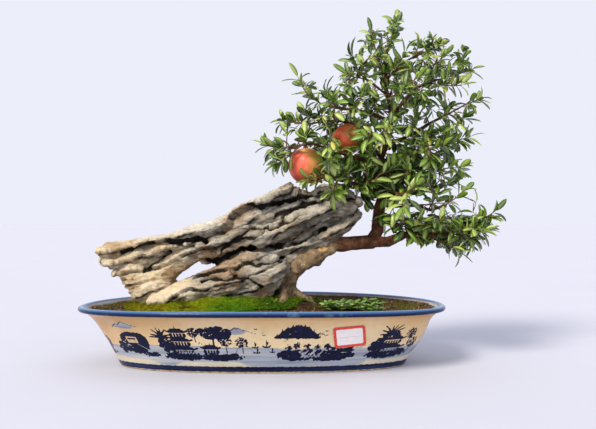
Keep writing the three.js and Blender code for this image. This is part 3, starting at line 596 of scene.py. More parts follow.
def bark_finish(settings):
    """Bark that is grey-tan and knobby on the old trunk and red-brown on the limbs, with painted shade in its
    hollows.
    """
    look = Finish("bark")
    flakes = look.noise(70, 7, 0.65, 0.6)
    old = look.ramp(flakes, (0.3, "#33261a"), (0.42, "#75604a"), (0.58, settings.old_bark), (0.72, "#cdb48c"))
    young = look.ramp(flakes, (0.28, "#28170f"), (0.45, settings.young_bark), (0.62, "#7b523a"),
                      (0.8, "#94704d"))
    plates = look.noise(1.0, 6, 0.65, 0.6, look.stretched((60, 60, 40), (0.2, -0.7, 0)))
    look.body = look.blend("young", old, young)
    look.lay("cut", look.ramp(flakes, (0.3, "#c08a4a"), (0.7, "#e9c184")))
    # Painted shade in the bark's hollows.
    look.over("recess", 0.3, 0.9, 0.85, "#1c120b")
    look.over(look.noise(420, 4, 0.7), 0.55, 0.7, 0.5, "#3a281b")
    look.over(plates, 0.46, 0.32, 0.75, "#2e2014")
    ridges = look.bump(plates, 0.007, 1.0)
    grain = look.bump(look.noise(230, 6, 0.7, 0.4), 0.0026, 1.0, ridges)
    return look.done(look.level(flakes, 0.3, 0.7, 0.75, 0.95), grain, Specular_IOR_Level=0.22)


def leaf_finish(name, dark, light, yellow, rough=0.27, shine=0.6):
    """Glossy leaf: each its own green, crown leaves darker deep inside it as painted shade, a paler midrib and
    margin veins, a few turning yellow.
    """
    look = Finish(name)
    tone = look.value("tone")
    uv = look.add("ShaderNodeUVMap", uv_map="leaf_uv").outputs["UV"]
    parts = look.add("ShaderNodeSeparateXYZ", {"Vector": uv})
    across, along = parts.outputs[0], parts.outputs[1]
    middle = look.sum("ABSOLUTE", look.sum("SUBTRACT", across, 0.5))
    # tone is each leaf's random green; on crown leaves it is also painted shade, lower deep inside the crown.
    look.body = look.ramp(tone, (0.0, dark), (0.35, "#55781a"), (0.65, "#83a22f"), (0.88, light), (0.96, light),
                          (1.0, yellow))
    look.over(look.noise(140, 4), 0.4, 0.7, 0.3, dark)
    veins = look.sum("ABSOLUTE", look.sum("SINE", look.sum("MULTIPLY", look.sum("ADD", along,
                     look.sum("MULTIPLY", middle, -0.55)), 42.0)))
    look.over(veins, 0.22, 0.0, 0.28, light)
    look.over(middle, 0.06, 0.02, 0.6, "#a8b57c")
    look.over(along, 0.12, 0.0, 0.75, "#7a3a26")
    ribs = look.bump(look.level(middle, 0.0, 0.08), 0.0004, 0.8)
    normal = look.bump(veins, 0.0002, 0.5, ribs)
    return look.done(rough, normal, Specular_IOR_Level=shine, Coat_Weight=shine / 2, Coat_Roughness=0.25)


def soil_finish(settings):
    """Damp soil: near black, with brown grains and a few pale bits."""
    look = Finish("soil")
    lumps = look.noise(90, 6, 0.7)
    look.body = look.ramp(lumps, (0.3, "#150e09"), (0.48, settings.soil_colour), (0.62, "#4d3826"),
                          (0.78, "#7a5f42"))
    look.over("tone", 0.55, 1.0, 0.85, "#8d7250")
    look.over(look.noise(24, 3), 0.47, 0.6, 0.65, "#4a4c14")
    normal = look.bump(look.noise(260, 6, 0.7), 0.0022, 1.0)
    return look.done(look.level(lumps, 0.3, 0.7, 0.85, 0.98), normal, Specular_IOR_Level=0.08)


def moss_finish():
    """Moss: olive yellow to the left, vivid in the middle, deep green to the right."""
    look = Finish("moss")
    wander = look.sum("ADD", look.level(look.across(), -0.25, 0.11),
                      look.level(look.noise(18, 4, 0.6), 0.3, 0.7, -0.16, 0.16))
    look.body = look.ramp(wander, (0.0, "#4a3c0a"), (0.22, "#807808"), (0.42, "#6b8206"), (0.62, "#4a7608"),
                          (0.8, "#2e5808"), (1.0, "#28420a"))
    look.over(look.noise(150, 5, 0.65), 0.45, 0.66, 0.7, "#202c0a")
    look.over("tone", 0.4, 1.0, 0.55, "#a5ac2c")
    bare = look.sum("MULTIPLY", look.level(look.noise(26, 5, 0.7), 0.56, 0.64), 0.75)
    look.lay(bare, "#33240f")
    normal = look.bump(look.noise(420, 5, 0.7), 0.002, 1.0)
    return look.done(0.9, normal, Specular_IOR_Level=0.08)


def fruit_finish(name, skin, side, back):
    """Pomegranate skin: a blush, an orange side and a green shoulder, with pores and russet."""
    look = Finish(name)
    pores = look.noise(300, 5, 0.6)
    look.body = look.blend("side", skin, side)
    look.lay("back", back)
    look.over(look.noise(60, 5, 0.6), 0.5, 0.7, 0.35, "#b8492a")
    look.over(look.cells(520), 0.16, 0.0, 0.45, "#e7a06a")
    look.over(look.noise(38, 6, 0.7), 0.6, 0.68, 0.5, "#84502a")
    look.lay("calyx", look.ramp(pores, (0.35, "#8c5a2a"), (0.7, "#c0953f")))
    normal = look.bump(pores, 0.0008, 0.6)
    return look.done(look.level(pores, 0.35, 0.7, 0.42, 0.6), normal, Coat_Weight=0.1, Coat_Roughness=0.35)


def paper_finish():
    """Paper label: a red border, a thin rule, faint creases."""
    look = Finish("label_paper")
    fibres = look.noise(420, 5, 0.6)
    look.body = look.ramp(fibres, (0.3, "#efe6e2"), (0.7, "#fbf6f4"))
    look.over(look.noise(60, 4), 0.45, 0.7, 0.35, "#e4d6d8")
    look.lay(look.level("rule", 0.46, 0.54), "#b9a7a3")
    red = look.ramp(look.noise(200, 3), (0.3, "#cf3326"), (0.7, "#e4553f"))
    look.lay(look.level("border", 0.46, 0.54), red)
    normal = look.bump(look.noise(90, 4), 0.0004, 0.6)
    return look.done(look.level(fibres, 0.3, 0.7, 0.55, 0.7), normal)


def pebble_finish():
    look = Finish("pebble_stone")
    bands = look.noise(160, 5, 0.6, 0.5)
    look.body = look.ramp(bands, (0.3, "#a9825a"), (0.5, "#c9a67c"), (0.7, "#e0c6a0"))
    look.over(look.cells(500), 0.2, 0.0, 0.5, "#7d5b3a")
    return look.done(look.level(bands, 0.3, 0.7, 0.6, 0.8), look.bump(look.noise(420, 5), 0.0007, 0.8))


def screen_finish():
    look = Finish("screen_plastic")
    scuffs = look.noise(180, 5, 0.6)
    look.body = look.ramp(scuffs, (0.35, "#2b2e2c"), (0.7, "#4b4f4b"))
    return look.done(look.level(scuffs, 0.3, 0.7, 0.4, 0.65), look.bump(look.noise(500, 3), 0.0003, 0.5))


# ---- node trees for what repeats ----


class Sockets:
    """A node tree with named inputs, built up from short calls."""

    def __init__(self, name, inputs):
        self.tree = bpy.data.node_groups.new(name, "GeometryNodeTree")
        self.tree.is_modifier = True
        faces = self.tree.interface
        faces.new_socket("Geometry", in_out="INPUT", socket_type="NodeSocketGeometry")
        for label, (kind, value) in inputs.items():
            socket = faces.new_socket(label, in_out="INPUT", socket_type=kind)
            if value is not None:
                socket.default_value = value
        faces.new_socket("Geometry", in_out="OUTPUT", socket_type="NodeSocketGeometry")
        self.inputs = self.tree.nodes.new("NodeGroupInput").outputs
        self.output = self.tree.nodes.new("NodeGroupOutput").inputs[0]

    def add(self, kind, inputs=(), **settings):
        node = self.tree.nodes.new(kind)
        for name, value in settings.items():
            setattr(node, name, value)
        for socket, value in dict(inputs).items():
            for one in value if isinstance(value, list) else [value]:
                if isinstance(one, bpy.types.NodeSocket):
                    self.tree.links.new(one, node.inputs[socket])
                else:
                    node.inputs[socket].default_value = one
        return node

    def out(self, kind, inputs=(), **settings):
        return self.add(kind, inputs, **settings).outputs[0]

    def named(self, name, kind="FLOAT"):
        return self.out("GeometryNodeInputNamedAttribute", {"Name": name}, data_type=kind)

    def shelf(self, collection):
        """The shapes of a collection, one by one."""
        return self.out("GeometryNodeCollectionInfo", {"Collection": collection, "Separate Children": True,
                                                       "Reset Children": True})

    def close(self, rest, rest_finish, placed, placed_finish):
        """Makes the placed copies real, finishes them and the rest, and joins both as what the tree gives."""
        real = self.out("GeometryNodeRealizeInstances", {"Geometry": placed})
        parts = [self.out("GeometryNodeSetMaterial", {"Geometry": shape, "Material": finish})
                 for shape, finish in ((rest, rest_finish), (real, placed_finish))]
        self.tree.links.new(self.out("GeometryNodeJoinGeometry", {"Geometry": parts}), self.output)
        return self.tree


def scatter_tree():
    """Small things strewn over a surface, thicker where its "room" is greater."""
    tree = Sockets("Strewn on a surface", {
        "Things": ("NodeSocketCollection", None),
        "To a square metre": ("NodeSocketFloat", 1000.0),
        "Smallest": ("NodeSocketFloat", 0.6),
        "Largest": ("NodeSocketFloat", 1.3),
        "Tilt": ("NodeSocketFloat", 0.5),
        "Seed": ("NodeSocketInt", 3),
        "Finish": ("NodeSocketMaterial", None),
        "Ground finish": ("NodeSocketMaterial", None),
    })
    given = tree.inputs
    density = tree.out("ShaderNodeMath", {0: given["To a square metre"], 1: tree.named("room")},
                       operation="MULTIPLY")
    strewn = tree.add("GeometryNodeDistributePointsOnFaces",
                      {"Mesh": given["Geometry"], "Density": density, "Seed": given["Seed"]})
    back = tree.out("ShaderNodeMath", {0: given["Tilt"], 1: -1.0}, operation="MULTIPLY")
    low = tree.out("ShaderNodeCombineXYZ", {0: back, 1: back, 2: 0.0})
    high = tree.out("ShaderNodeCombineXYZ", {0: given["Tilt"], 1: given["Tilt"], 2: 2 * math.pi})
    spin = tree.out("FunctionNodeRandomValue", {"Min": low, "Max": high, "Seed": given["Seed"]},
                    data_type="FLOAT_VECTOR")
    turned = tree.out("FunctionNodeRotateRotation", {
        "Rotation": strewn.outputs["Rotation"], "Rotate By": tree.out("FunctionNodeEulerToRotation", {0: spin})},
        rotation_space="LOCAL")
    size, shade = (tree.add("FunctionNodeRandomValue", data_type="FLOAT") for _ in range(2))
    sizes = [socket for socket in size.inputs if socket.enabled]
    tree.tree.links.new(given["Smallest"], sizes[0])
    tree.tree.links.new(given["Largest"], sizes[1])
    placed = tree.out("GeometryNodeInstanceOnPoints", {
        "Points": strewn.outputs["Points"], "Instance": tree.shelf(given["Things"]), "Pick Instance": True,
        "Rotation": turned, "Scale": [socket for socket in size.outputs if socket.enabled][0]})
    toned = tree.out("GeometryNodeStoreNamedAttribute", {
        "Geometry": placed, "Name": "tone", "Value": [socket for socket in shade.outputs if socket.enabled][0]},
        data_type="FLOAT", domain="INSTANCE")
    return tree.close(given["Geometry"], given["Ground finish"], toned, given["Finish"])


def leaves_tree():
    """A leaf at each marked point, turned, sized and toned as the point says; the stems stay as they are."""
    tree = Sockets("Leaves at marks", {
        "Leaves": ("NodeSocketCollection", None),
        "Plumpness": ("NodeSocketFloat", 1.0),
        "Leaf finish": ("NodeSocketMaterial", None),
        "Stem finish": ("NodeSocketMaterial", None),
    })
    given = tree.inputs
    marked = tree.out("FunctionNodeCompare", {0: tree.named("mark"), 1: 0.5}, data_type="FLOAT",
                      operation="GREATER_THAN")
    split = tree.add("GeometryNodeSeparateGeometry", {"Geometry": given["Geometry"], "Selection": marked},
                     domain="POINT")
    turn = tree.out("FunctionNodeEulerToRotation", {0: tree.named("turn", "FLOAT_VECTOR")})
    plump = tree.out("ShaderNodeCombineXYZ", {0: given["Plumpness"], 1: 1.0, 2: 1.0})
    size = tree.out("ShaderNodeVectorMath", {0: tree.named("size", "FLOAT_VECTOR"), 1: plump},
                    operation="MULTIPLY")
    placed = tree.out("GeometryNodeInstanceOnPoints", {
        "Points": split.outputs[0], "Instance": tree.shelf(given["Leaves"]), "Pick Instance": True,
        "Instance Index": tree.named("kind", "INT"), "Rotation": turn, "Scale": size})
    return tree.close(split.outputs[1], given["Stem finish"], placed, given["Leaf finish"])


def tree_named(name, build):
    return bpy.data.node_groups.get(name) or build()


def grow(piece, tree, values):
    """Runs a node tree on a piece and keeps what it makes as plain mesh."""
    modifier = piece.modifiers.new(tree.name, "NODES")
    modifier.node_group = tree
    for item in tree.interface.items_tree:
        if item.item_type == "SOCKET" and item.in_out == "INPUT" and item.name in values:
            modifier[item.identifier] = values[item.name]
    return make_plain(piece)


def kit(name, pieces):
    """Small shapes kept out of the scene in a collection of their own, for a node tree to copy."""
    shelf = bpy.data.collections.new(name)
    for piece in pieces:
        for home in list(piece.users_collection):
            home.objects.unlink(piece)
        shelf.objects.link(piece)
    return shelf


def clear_kit(shelf):
    for piece in list(shelf.objects):
        discard(piece)
    bpy.data.collections.remove(shelf)


# ---- tray ----


def oval_points(reach, angle, height):
    """Points of the oval of a half-length, with the rim dipping towards both ends, in millimetres."""
    slope = (RIM_DEPTH - FOOT_DEPTH) / (RIM_LENGTH - FOOT_LENGTH)
    reach, angle, height = np.broadcast_arrays(reach, angle, height)
    depth = np.where(reach > FOOT_LENGTH, FOOT_DEPTH + (reach - FOOT_LENGTH) * slope,
                     reach * FOOT_DEPTH / FOOT_LENGTH)
    c, s = np.cos(angle), np.sin(angle)
    x = np.sign(c) * np.abs(c) ** (2 / OVAL_POWER) * reach
    y = np.sign(s) * np.abs(s) ** (2 / OVAL_POWER) * depth
    dip = END_DIP * (x / RIM_LENGTH) ** 2 * np.maximum(0, (height - 20) / (RIM_HEIGHT - 20))
    return np.stack([x, y, height - dip], -1)


def even_angles(count):
    """Angles evenly spaced by distance round the wall, and that distance from the middle of the front."""
    angles = np.linspace(-1.5 * math.pi, 0.5 * math.pi, 40001)
    line = oval_points(PAINT_REACH, angles, 60.0)[:, :2]
    run = np.concatenate([[0], np.cumsum(np.linalg.norm(np.diff(line, axis=0), axis=1))])
    wanted = np.arange(count) * run[-1] / count
    return np.interp(wanted, run, angles), wanted - run[-1] / 2


def drawn_finer(line, step):
    """A section line with a point at least every step, its corners kept."""
    fine = [line[0]]
    for (r0, z0), (r1, z1) in zip(line, line[1:]):
        parts = max(1, round(math.hypot(r1 - r0, z1 - z0) / step))
        fine += [(r0 + (r1 - r0) * k / parts, z0 + (z1 - z0) * k / parts) for k in range(1, parts + 1)]
    return fine


def eased(line, times=2):
    """A section line with its corners rounded off."""
    for _ in range(times):
        cut = [line[0]]
        for (r0, z0), (r1, z1) in zip(line, line[1:]):
            cut += [((1 - part) * r0 + part * r1, (1 - part) * z0 + part * z1) for part in (0.25, 0.75)]
        line = cut + [line[-1]]
    return line


class Wall:
    """The outside of the tray unrolled: distance round it and height in millimetres, and its painting.

    Each layer holds how far inside the paint a point lies, so that its edges stay crisp between points.
    """

    def __init__(self, around, height, seed):
        self.columns, self.rows = around, height
        self.around, self.height = np.meshgrid(around, height)
        self.layers = {name: np.full(self.around.shape, -9.0) for name in ("ink", "wash")}
        self.random = random.Random(seed)
        self.vary = self.random.uniform
        lumps = np.stack([self.around.ravel() / 2.6, self.height.ravel() / 2.6, 0 * self.around.ravel()], -1)
        self.ragged = cloud(lumps, seed, 2).reshape(self.around.shape)
        self.streaks = cloud(lumps * (0.05, 0.7, 1), seed + 1, 3).reshape(self.around.shape)

    def patch(self, s0, s1, h0, h1):
        """The rows and columns round a mark, and their places."""
        a, b = np.searchsorted(self.columns, (s0 - 4, s1 + 4))
        c, d = np.searchsorted(self.rows, (h0 - 4, h1 + 4))
        area = (slice(c, d), slice(a, b))
        return area, self.around[area], self.height[area]

    def lay(self, layer, area, inside, dry=False):
        held = self.layers[layer]
        held[area] = np.minimum(held[area], -inside) if dry else np.maximum(held[area], inside)

    def dab(self, s, h, wide, tall, turn=0.0, layer="ink", dry=False, ragged=0.0):
        """An oval of paint, or of bare glaze when dry."""
        big = max(wide, tall)
        area, u, v = self.patch(s - big, s + big, h - big, h + big)
        u, v, c, n = u - s, v - h, math.cos(turn), math.sin(turn)
        out = np.hypot((u * c + v * n) / wide, (v * c - u * n) / tall)
        self.lay(layer, area, (1 - out) * min(wide, tall) + ragged * self.ragged[area], dry)

    def stroke(self, points, width, layer="ink", dry=False, ragged=0.0, end=None):
        """A brush line through points, thinning to another width at its end."""
        for k, ((s0, h0), (s1, h1)) in enumerate(zip(points, points[1:])):
            area, u, v = self.patch(min(s0, s1) - width, max(s0, s1) + width, min(h0, h1) - width,
                                    max(h0, h1) + width)
            part, du, dv = beside(u, v, (s0, h0), (s1, h1))
            done = (k + part) / (len(points) - 1)
            half = (width + ((end or width) - width) * done) / 2
            self.lay(layer, area, half - np.hypot(du, dv) + ragged * self.ragged[area], dry)

    def bar(self, s, half, h, width, dry=False):
        """A level brush line of a half-length."""
        self.stroke([(s - half, h), (s + half, h)], width, dry=dry)

    def line(self, where, points, width, **more):
        """A brush line through points given in parts of a motif's half-width and height."""
        s, h, wide, tall = where
        self.stroke([(s + wide * u, h + tall * v) for u, v in points], width, **more)

    def flecks(self, s, h, wide, tall, count, size=0.9):
        """Specks of bare glaze in a dark mass."""
        for _ in range(count):
            self.dab(s + self.vary(-wide, wide) * 0.85, h + self.vary(-tall, tall) * 0.8,
                     size * self.vary(0.7, 1.5), size * 0.7, self.vary(-0.6, 0.6), dry=True)

    def foliage(self, s, h, wide, tall, size, count):
        """A dark mass of leaves with a lobed edge and a few lights in it."""
        self.dab(s, h, wide * 0.86, tall * 0.8, ragged=1.2)
        for k in range(count):
            angle = 2 * math.pi * (k + self.random.random()) / count
            big = size * self.vary(0.7, 1.25)
            self.dab(s + wide * 0.86 * math.cos(angle), h + tall * 0.8 * math.sin(angle), big, big * 0.8,
                     ragged=0.7)
        self.flecks(s, h, wide, tall, count)

    def stippled_tree(self, s, h, size):
        """A round tree drawn as rings of small dabs on a thin stem, pale between them."""
        self.stroke([(s + 0.4, h - size * 2.0), (s, h)], 1.9, end=1.2)
        for ring, count in ((1.0, 17), (0.66, 11), (0.3, 5)):
            for k in range(count):
                angle = 2 * math.pi * (k + self.vary(-0.3, 0.3)) / count
                far = ring * self.vary(0.86, 1.1)
                u, v = math.cos(angle) * size * far, math.sin(angle) * size * far * 0.85
                self.dab(s + u, h + v, 1.7 * self.vary(0.8, 1.3), 1.15,
                         angle + self.vary(-0.7, 0.7), ragged=0.3)

    def fronds(self, s, h, size):
        """Long leaves spread like a fan from a short stem."""
        for k in range(8):
            angle = math.radians(-2 + 26 * k + self.vary(-6, 6))
            reach = size * self.vary(0.8, 1.1)
            top = (s + reach * math.cos(angle), h + reach * 0.85 * math.sin(angle))
            self.stroke([(s, h), ((s + top[0]) / 2, h + (top[1] - h) * 0.62), top], 3.4, ragged=0.3, end=2.0)

    def hall(self, s, h, wide, tiers):
        """A hall of several tiers, each a dark roof with turned-up eaves over a row of pale posts."""
        for k in range(tiers):
            w, base = wide * (1 - 0.17 * k), h + 14.5 * k
            self.bar(s, w * 0.36, base + 3, 7)
            posts = max(3, int(w * 0.7 / 4.2))
            for j in range(posts):
                post = s + w * 0.7 * ((j + 0.5) / posts - 0.5)
                self.stroke([(post, base + 1.2), (post, base + 5)], 1.5, dry=True)
            self.bar(s, w * 0.34, base + 6.2, 0.9, dry=True)
            self.stroke([(s - w * 0.58, base + 10.2), (s - w * 0.44, base + 8.4), (s + w * 0.44, base + 8.4),
                         (s + w * 0.58, base + 10.2)], 3.0, ragged=0.2)
            self.bar(s, w * 0.38, base + 10.6, 3.2)
            self.bar(s, w * 0.27, base + 13, 3.0)
        self.stroke([(s, h + 14.5 * tiers - 2), (s, h + 14.5 * tiers + 5)], 2.4, end=0.9)

    def island(self, s, h, wide, tall):
        """A dark bank with ragged ends and a few pale rocks."""
        self.dab(s, h, wide, tall, ragged=1.5)
        self.dab(s + wide * 0.42, h + tall * 0.4, wide * 0.42, tall * 0.75, 0.1, ragged=1.3)
        self.dab(s - wide * 0.46, h + tall * 0.3, wide * 0.42, tall * 0.7, -0.08, ragged=1.3)
        self.flecks(s, h, wide, tall * 0.6, 5, 0.8)

    def fence(self, s, h, wide):
        """A zigzag railing left pale in the dark bank."""
        steps = int(wide / 3.0)
        points = [(s - wide / 2 + k * 3.0, h + (1.8 if k % 2 else -1.8)) for k in range(steps)]
        self.stroke(points, 1.25, dry=True)

    def trellis(self, s, h, wide, tall):
        """A pale tangle of crossing rails in a dark bank."""
        for _ in range(16):
            u, v = self.vary(-1, 1) * wide, self.vary(-1, 1) * tall * 0.5
            lean = self.random.choice((-1, 1)) * self.vary(3, 6)
            self.stroke([(s + u - 4, h + v - lean), (s + u + 4, h + v + lean)], 1.2, dry=True, ragged=0.2)
        self.fence(s, h - tall * 0.5, wide * 2)

    def hills(self, s, h, wide, tall):
        """Far hills: a fine outline over a pale wash."""
        self.dab(s, h + tall * 0.3, wide * 0.8, tall * 0.5, layer="wash", ragged=0.8)
        self.dab(s + wide * 0.1, h + tall * 0.55, wide * 0.4, tall * 0.42, layer="wash", ragged=0.6)
        where = (s, h, wide, tall)
        ridge = [(-1, 0), (-0.55, 0.6), (-0.35, 0.45), (0.02, 1), (0.4, 0.6), (1, 0.28)]
        self.line(where, ridge, 1.3, ragged=0.1)
        self.line(where, [(0.05, 0.75), (0.22, 0.2)], 0.9)

    def birds(self, s, h, count, spread=10):
        for _ in range(count):
            cs, ch = s + self.vary(-1, 1) * spread, h + self.vary(-0.7, 0.7) * spread
            self.stroke([(cs - 1.8, ch + 1.2), (cs, ch), (cs + 2, ch + 0.9)], 1.1)

    def boat(self, s, h, size):
        self.line((s, h, size, size), [(-1, 0.3), (-0.5, 0), (0.6, 0), (1, 0.4)], size * 0.42)
        self.stroke([(s, h), (s, h + size * 1.9)], 1.4)
        self.stroke([(s + 0.6, h + size * 0.7), (s + size * 0.35, h + size * 1.3)], size * 0.4)

    def ship(self, s, h, size):
        """A larger boat with a square dark sail."""
        where = (s, h, size, size)
        self.line(where, [(-1, 0.2), (-0.3, -0.1), (0.8, 0)], size * 0.34, ragged=0.5)
        self.line(where, [(0.25, 0.3), (0.5, 0.95)], size * 0.75, ragged=0.4)
        self.line(where, [(0.95, -0.1), (1.1, 0.8)], 1.1, dry=True)
        self.line(where, [(-0.8, -0.3), (0.9, -0.2)], 1.1, dry=True)

    def grotto(self, s, h, wide, tall):
        """A round rock with a lit hall inside it and a pale stair."""
        self.dab(s, h, wide, tall, ragged=1.4)
        self.dab(s + wide * 0.5, h + tall * 0.25, wide * 0.55, tall * 0.72, ragged=1.0)
        self.dab(s - wide * 0.55, h - tall * 0.3, wide * 0.6, tall * 0.55, ragged=1.6)
        where = (s, h, wide, tall)
        hall = [(-0.42, 0.02), (-0.4, 0.5), (0.28, 0.5), (0.26, 0.05), (-0.42, 0.02)]
        self.line(where, hall, 2.0, dry=True, ragged=0.3)
        self.line(where, [(-0.3, 0.2), (0.18, 0.22)], tall * 0.2, dry=True)
        for k in range(4):
            post = s - wide * 0.24 + k * wide * 0.13
            self.stroke([(post, h + tall * 0.14), (post, h + tall * 0.3)], 1.1)
        self.line(where, [(0.2, -0.1), (0.55, -0.4), (0.8, -0.6)], 1.4, dry=True)
        self.flecks(s - wide * 0.6, h - tall * 0.1, wide * 0.3, tall * 0.5, 16, 1.1)

    def dome(self, s, h, wide, tall):
        """A wooded hill, flat below, with small pointed trees along its top."""
        for k in range(30):
            part = k / 29 * 2 - 1
            self.dab(s + part * wide * 0.88, h + tall * 0.42 * (1 - part * part), wide * 0.13,
                     tall * (0.1 + 0.4 * (1 - part * part)), ragged=0.9)
        self.stroke([(s - wide, h), (s + wide, h)], 3.0, ragged=0.5)
        for k in range(9):
            part = (k - 4) / 4.4
            top = h + tall * 0.84 * (1 - part * part)
            self.stroke([(s + part * wide, top - 2), (s + part * wide, top + 3.5)], 2.8, ragged=0.5, end=1.2)
        self.flecks(s, h + tall * 0.3, wide * 0.7, tall * 0.25, 8, 0.7)

    def mound(self, s, h, wide, tall):
        """A pale hill in outline, for a tree to stand on."""
        arc = [(s + wide * math.cos(t), h + tall * math.sin(t)) for t in np.linspace(math.pi, 0, 9)]
        self.stroke(arc, 1.2, ragged=0.2)

    def water(self):
        """The pale wash round the foot, streaked, with a light strip left above the foot band."""
        top = 43 + 5 * self.streaks + 1.5 * self.ragged
        strip = (smooth(-150, -120, self.around) * smooth(-5, -35, self.around)
                 + smooth(165, 190, np.abs(self.around)))
        low = 9 + 8.5 * strip + 2 * smooth(-0.4, 0.5, self.streaks)
        self.lay("wash", ..., 0.4 * np.minimum(top - self.height, self.height - low))


def paint_scenery(wall):
    """Lakes, halls and trees in groups round the wall, with clear glaze between the groups."""
    wall.water()
    wall.hills(-206, 73, 24, 10)
    wall.grotto(-203, 47, 27, 19)
    wall.foliage(-233, 38, 9, 10, 3, 9)
    wall.island(-178, 28, 14, 4)
    wall.hall(-120, 31, 42, 3)
    wall.foliage(-145, 46, 13, 12, 4, 10)
    wall.fronds(-148, 59, 18)
    wall.island(-122, 27, 34, 6.5)
    wall.fence(-112, 33, 36)
    wall.stippled_tree(-95, 68, 8)
    wall.stroke([(-92, 48), (-88, 52), (-85, 44)], 1.2)
    wall.foliage(-62, 68, 25, 10, 5, 16)
    wall.stroke([(-66, 60), (-68, 44)], 2.8)
    wall.hall(-74, 33, 27, 1)
    wall.stippled_tree(-49, 54, 9.5)
    wall.island(-58, 26, 35, 6)
    wall.hills(-30, 67, 20, 10)
    wall.stippled_tree(-23, 52, 9)
    wall.mound(-20, 30, 15, 16)
    wall.birds(2, 68, 7)
    wall.boat(-3, 43, 5)
    wall.boat(0, 34, 4.5)
    wall.boat(15, 44, 6)
    wall.boat(24, 35, 4)
    wall.dome(62, 60, 34, 22)
    wall.birds(99, 67, 8, 8)
    wall.birds(52, 53, 4, 9)
    wall.island(66, 30, 34, 9.5)
    wall.island(118, 29, 42, 9.5)
    for s, h, big in ((50, 42, 6), (63, 46, 7), (79, 45, 6), (96, 43, 6), (112, 44, 7), (124, 41, 6)):
        wall.foliage(s, h, big * 0.8, big * 0.7, 2, 6)
        wall.stroke([(s, h), (s, h + big)], 1.8, end=0.9)
    wall.trellis(88, 34, 17, 12)
    wall.ship(146, 37, 12)
    wall.hall(218, 30, 46, 2)
    wall.foliage(196, 42, 14, 14, 4, 11)
    wall.foliage(212, 60, 15, 6, 3, 9)
    wall.fronds(210, 62, 21)
    wall.island(218, 27, 38, 7)
    wall.fence(222, 33, 34)
    wall.stippled_tree(249, 61, 9)
    wall.stippled_tree(259, 44, 10)
    for s, kind in ((-296, 1), (-364, 0), (-436, 2), (-510, 1), (-588, 0), (316, 0), (388, 2), (456, 1),
                    (524, 0), (598, 2)):
        back_group(wall, s, kind)


def back_group(wall, s, kind):
    """One of three groups that carry the painting on round the ends and the back."""
    if kind == 0:
        wall.hills(s - 14, 68, 20, 10)
        wall.hall(s, 31, 38, 2)
        wall.island(s, 27, 32, 6.5)
        wall.stippled_tree(s + 26, 54, 9)
        wall.fence(s, 33, 28)
    elif kind == 1:
        wall.foliage(s - 14, 64, 18, 9, 4, 12)
        wall.stroke([(s - 14, 58), (s - 15, 36)], 2.6)
        wall.grotto(s + 14, 42, 17, 13)
        wall.island(s, 26, 32, 5)
        wall.birds(s + 26, 68, 6)
    else:
        wall.dome(s, 56, 27, 17)
        wall.island(s + 2, 30, 32, 7)
        wall.boat(s - 36, 38, 5)
        wall.fronds(s + 24, 46, 14)
        wall.trellis(s + 6, 32, 14, 10)


def bridge(shape, low, high):
    """Joins two closed rings of points with faces."""
    for k in range(len(low)):
        shape.faces.new((low[k - 1], low[k], high[k], high[k - 1]))


def tray_floor(shape, loop, holes):
    """Fills a level ring of points, leaving the holes open."""
    edges = []
    for ring in [loop, *holes]:
        for a, b in zip(ring, ring[1:] + ring[:1]):
            edges.append(shape.edges.get((a, b)) or shape.edges.new((a, b)))
    bmesh.ops.triangle_fill(shape, use_beauty=False, edges=edges, normal=(0, 0, 1))


def make_tray(settings):
    count = settings.around
    angles, around = even_angles(count)
    outer = drawn_finer(eased(WALL_LINE[3:], 1), 1.6)
    lip = eased(LIP_LINE, 1)
    inner = drawn_finer(INNER_LINE, 9)
    line = WALL_LINE[:3] + outer + lip + inner
    reach, height = np.array(line).T
    points = oval_points(reach[:, None], angles[None, :], height[:, None])
    rows = len(line)
    first, lip_row, inner_row = 3, 3 + len(outer), 3 + len(outer) + len(lip)
    full = smooth(17, 36, height) * smooth(84, 52, height) * (np.arange(rows) < lip_row)
    points[..., 0] += FULLER_END * full[:, None] * smooth(0.74, 0.98, points[..., 0] / reach[:, None])
    wall = Wall(around, height[first:lip_row], settings.paint_seed)
    paint_scenery(wall)
    band = np.minimum(10.8 + 0.6 * wall.ragged - wall.height, wall.height - 1.9 - 0.5 * wall.ragged)
    wall.lay("ink", ..., band)
    values = {name: np.zeros((rows, count)) for name in ("ink", "wash", "lip", "inside", "foot")}
    for name, layer in wall.layers.items():
        values[name][first:lip_row] = np.clip(0.5 + layer / 4, 0, 1)
    values["lip"][lip_row:inner_row] = 1
    values["inside"][inner_row:] = 1
    values["foot"][:first + 1] = 1
    values["height"] = np.repeat(height[:, None] / LIP_TOP, count, 1)
    shape = bmesh.new()
    grid = [[shape.verts.new(p) for p in row] for row in spots(points)]
    for low, high in zip(grid, grid[1:]):
        bridge(shape, low, high)
    turns = [2 * math.pi * k / 32 for k in range(32)]
    rings = [[shape.verts.new(spots((x + DRAIN_RADIUS * math.cos(a), DRAIN_RADIUS * math.sin(a), level)))
              for a in turns] for level in DRAIN_LEVELS for x in (-DRAIN_AT, DRAIN_AT)]
    under = [shape.verts.new(spots(p)) for p in oval_points(UNDER_REACH, angles, DRAIN_LEVELS[0])]
    bridge(shape, under, grid[0])
    tray_floor(shape, under, rings[:2])
    tray_floor(shape, grid[-1], rings[2:])
    for low, high in zip(rings[:2], rings[2:]):
        bridge(shape, low, high)
    bmesh.ops.recalc_face_normals(shape, faces=shape.faces)
    mesh = mesh_of("glazed_tray", shape)
    for name, grid_values in values.items():
        rest = np.full(len(mesh.vertices) - rows * count, 1.0 if name == "foot" else 0.0)
        store(mesh, name, np.concatenate([grid_values.ravel(), rest]))
    return piece_of("glazed_tray", mesh, glaze_finish(settings))


# ---- stone ----


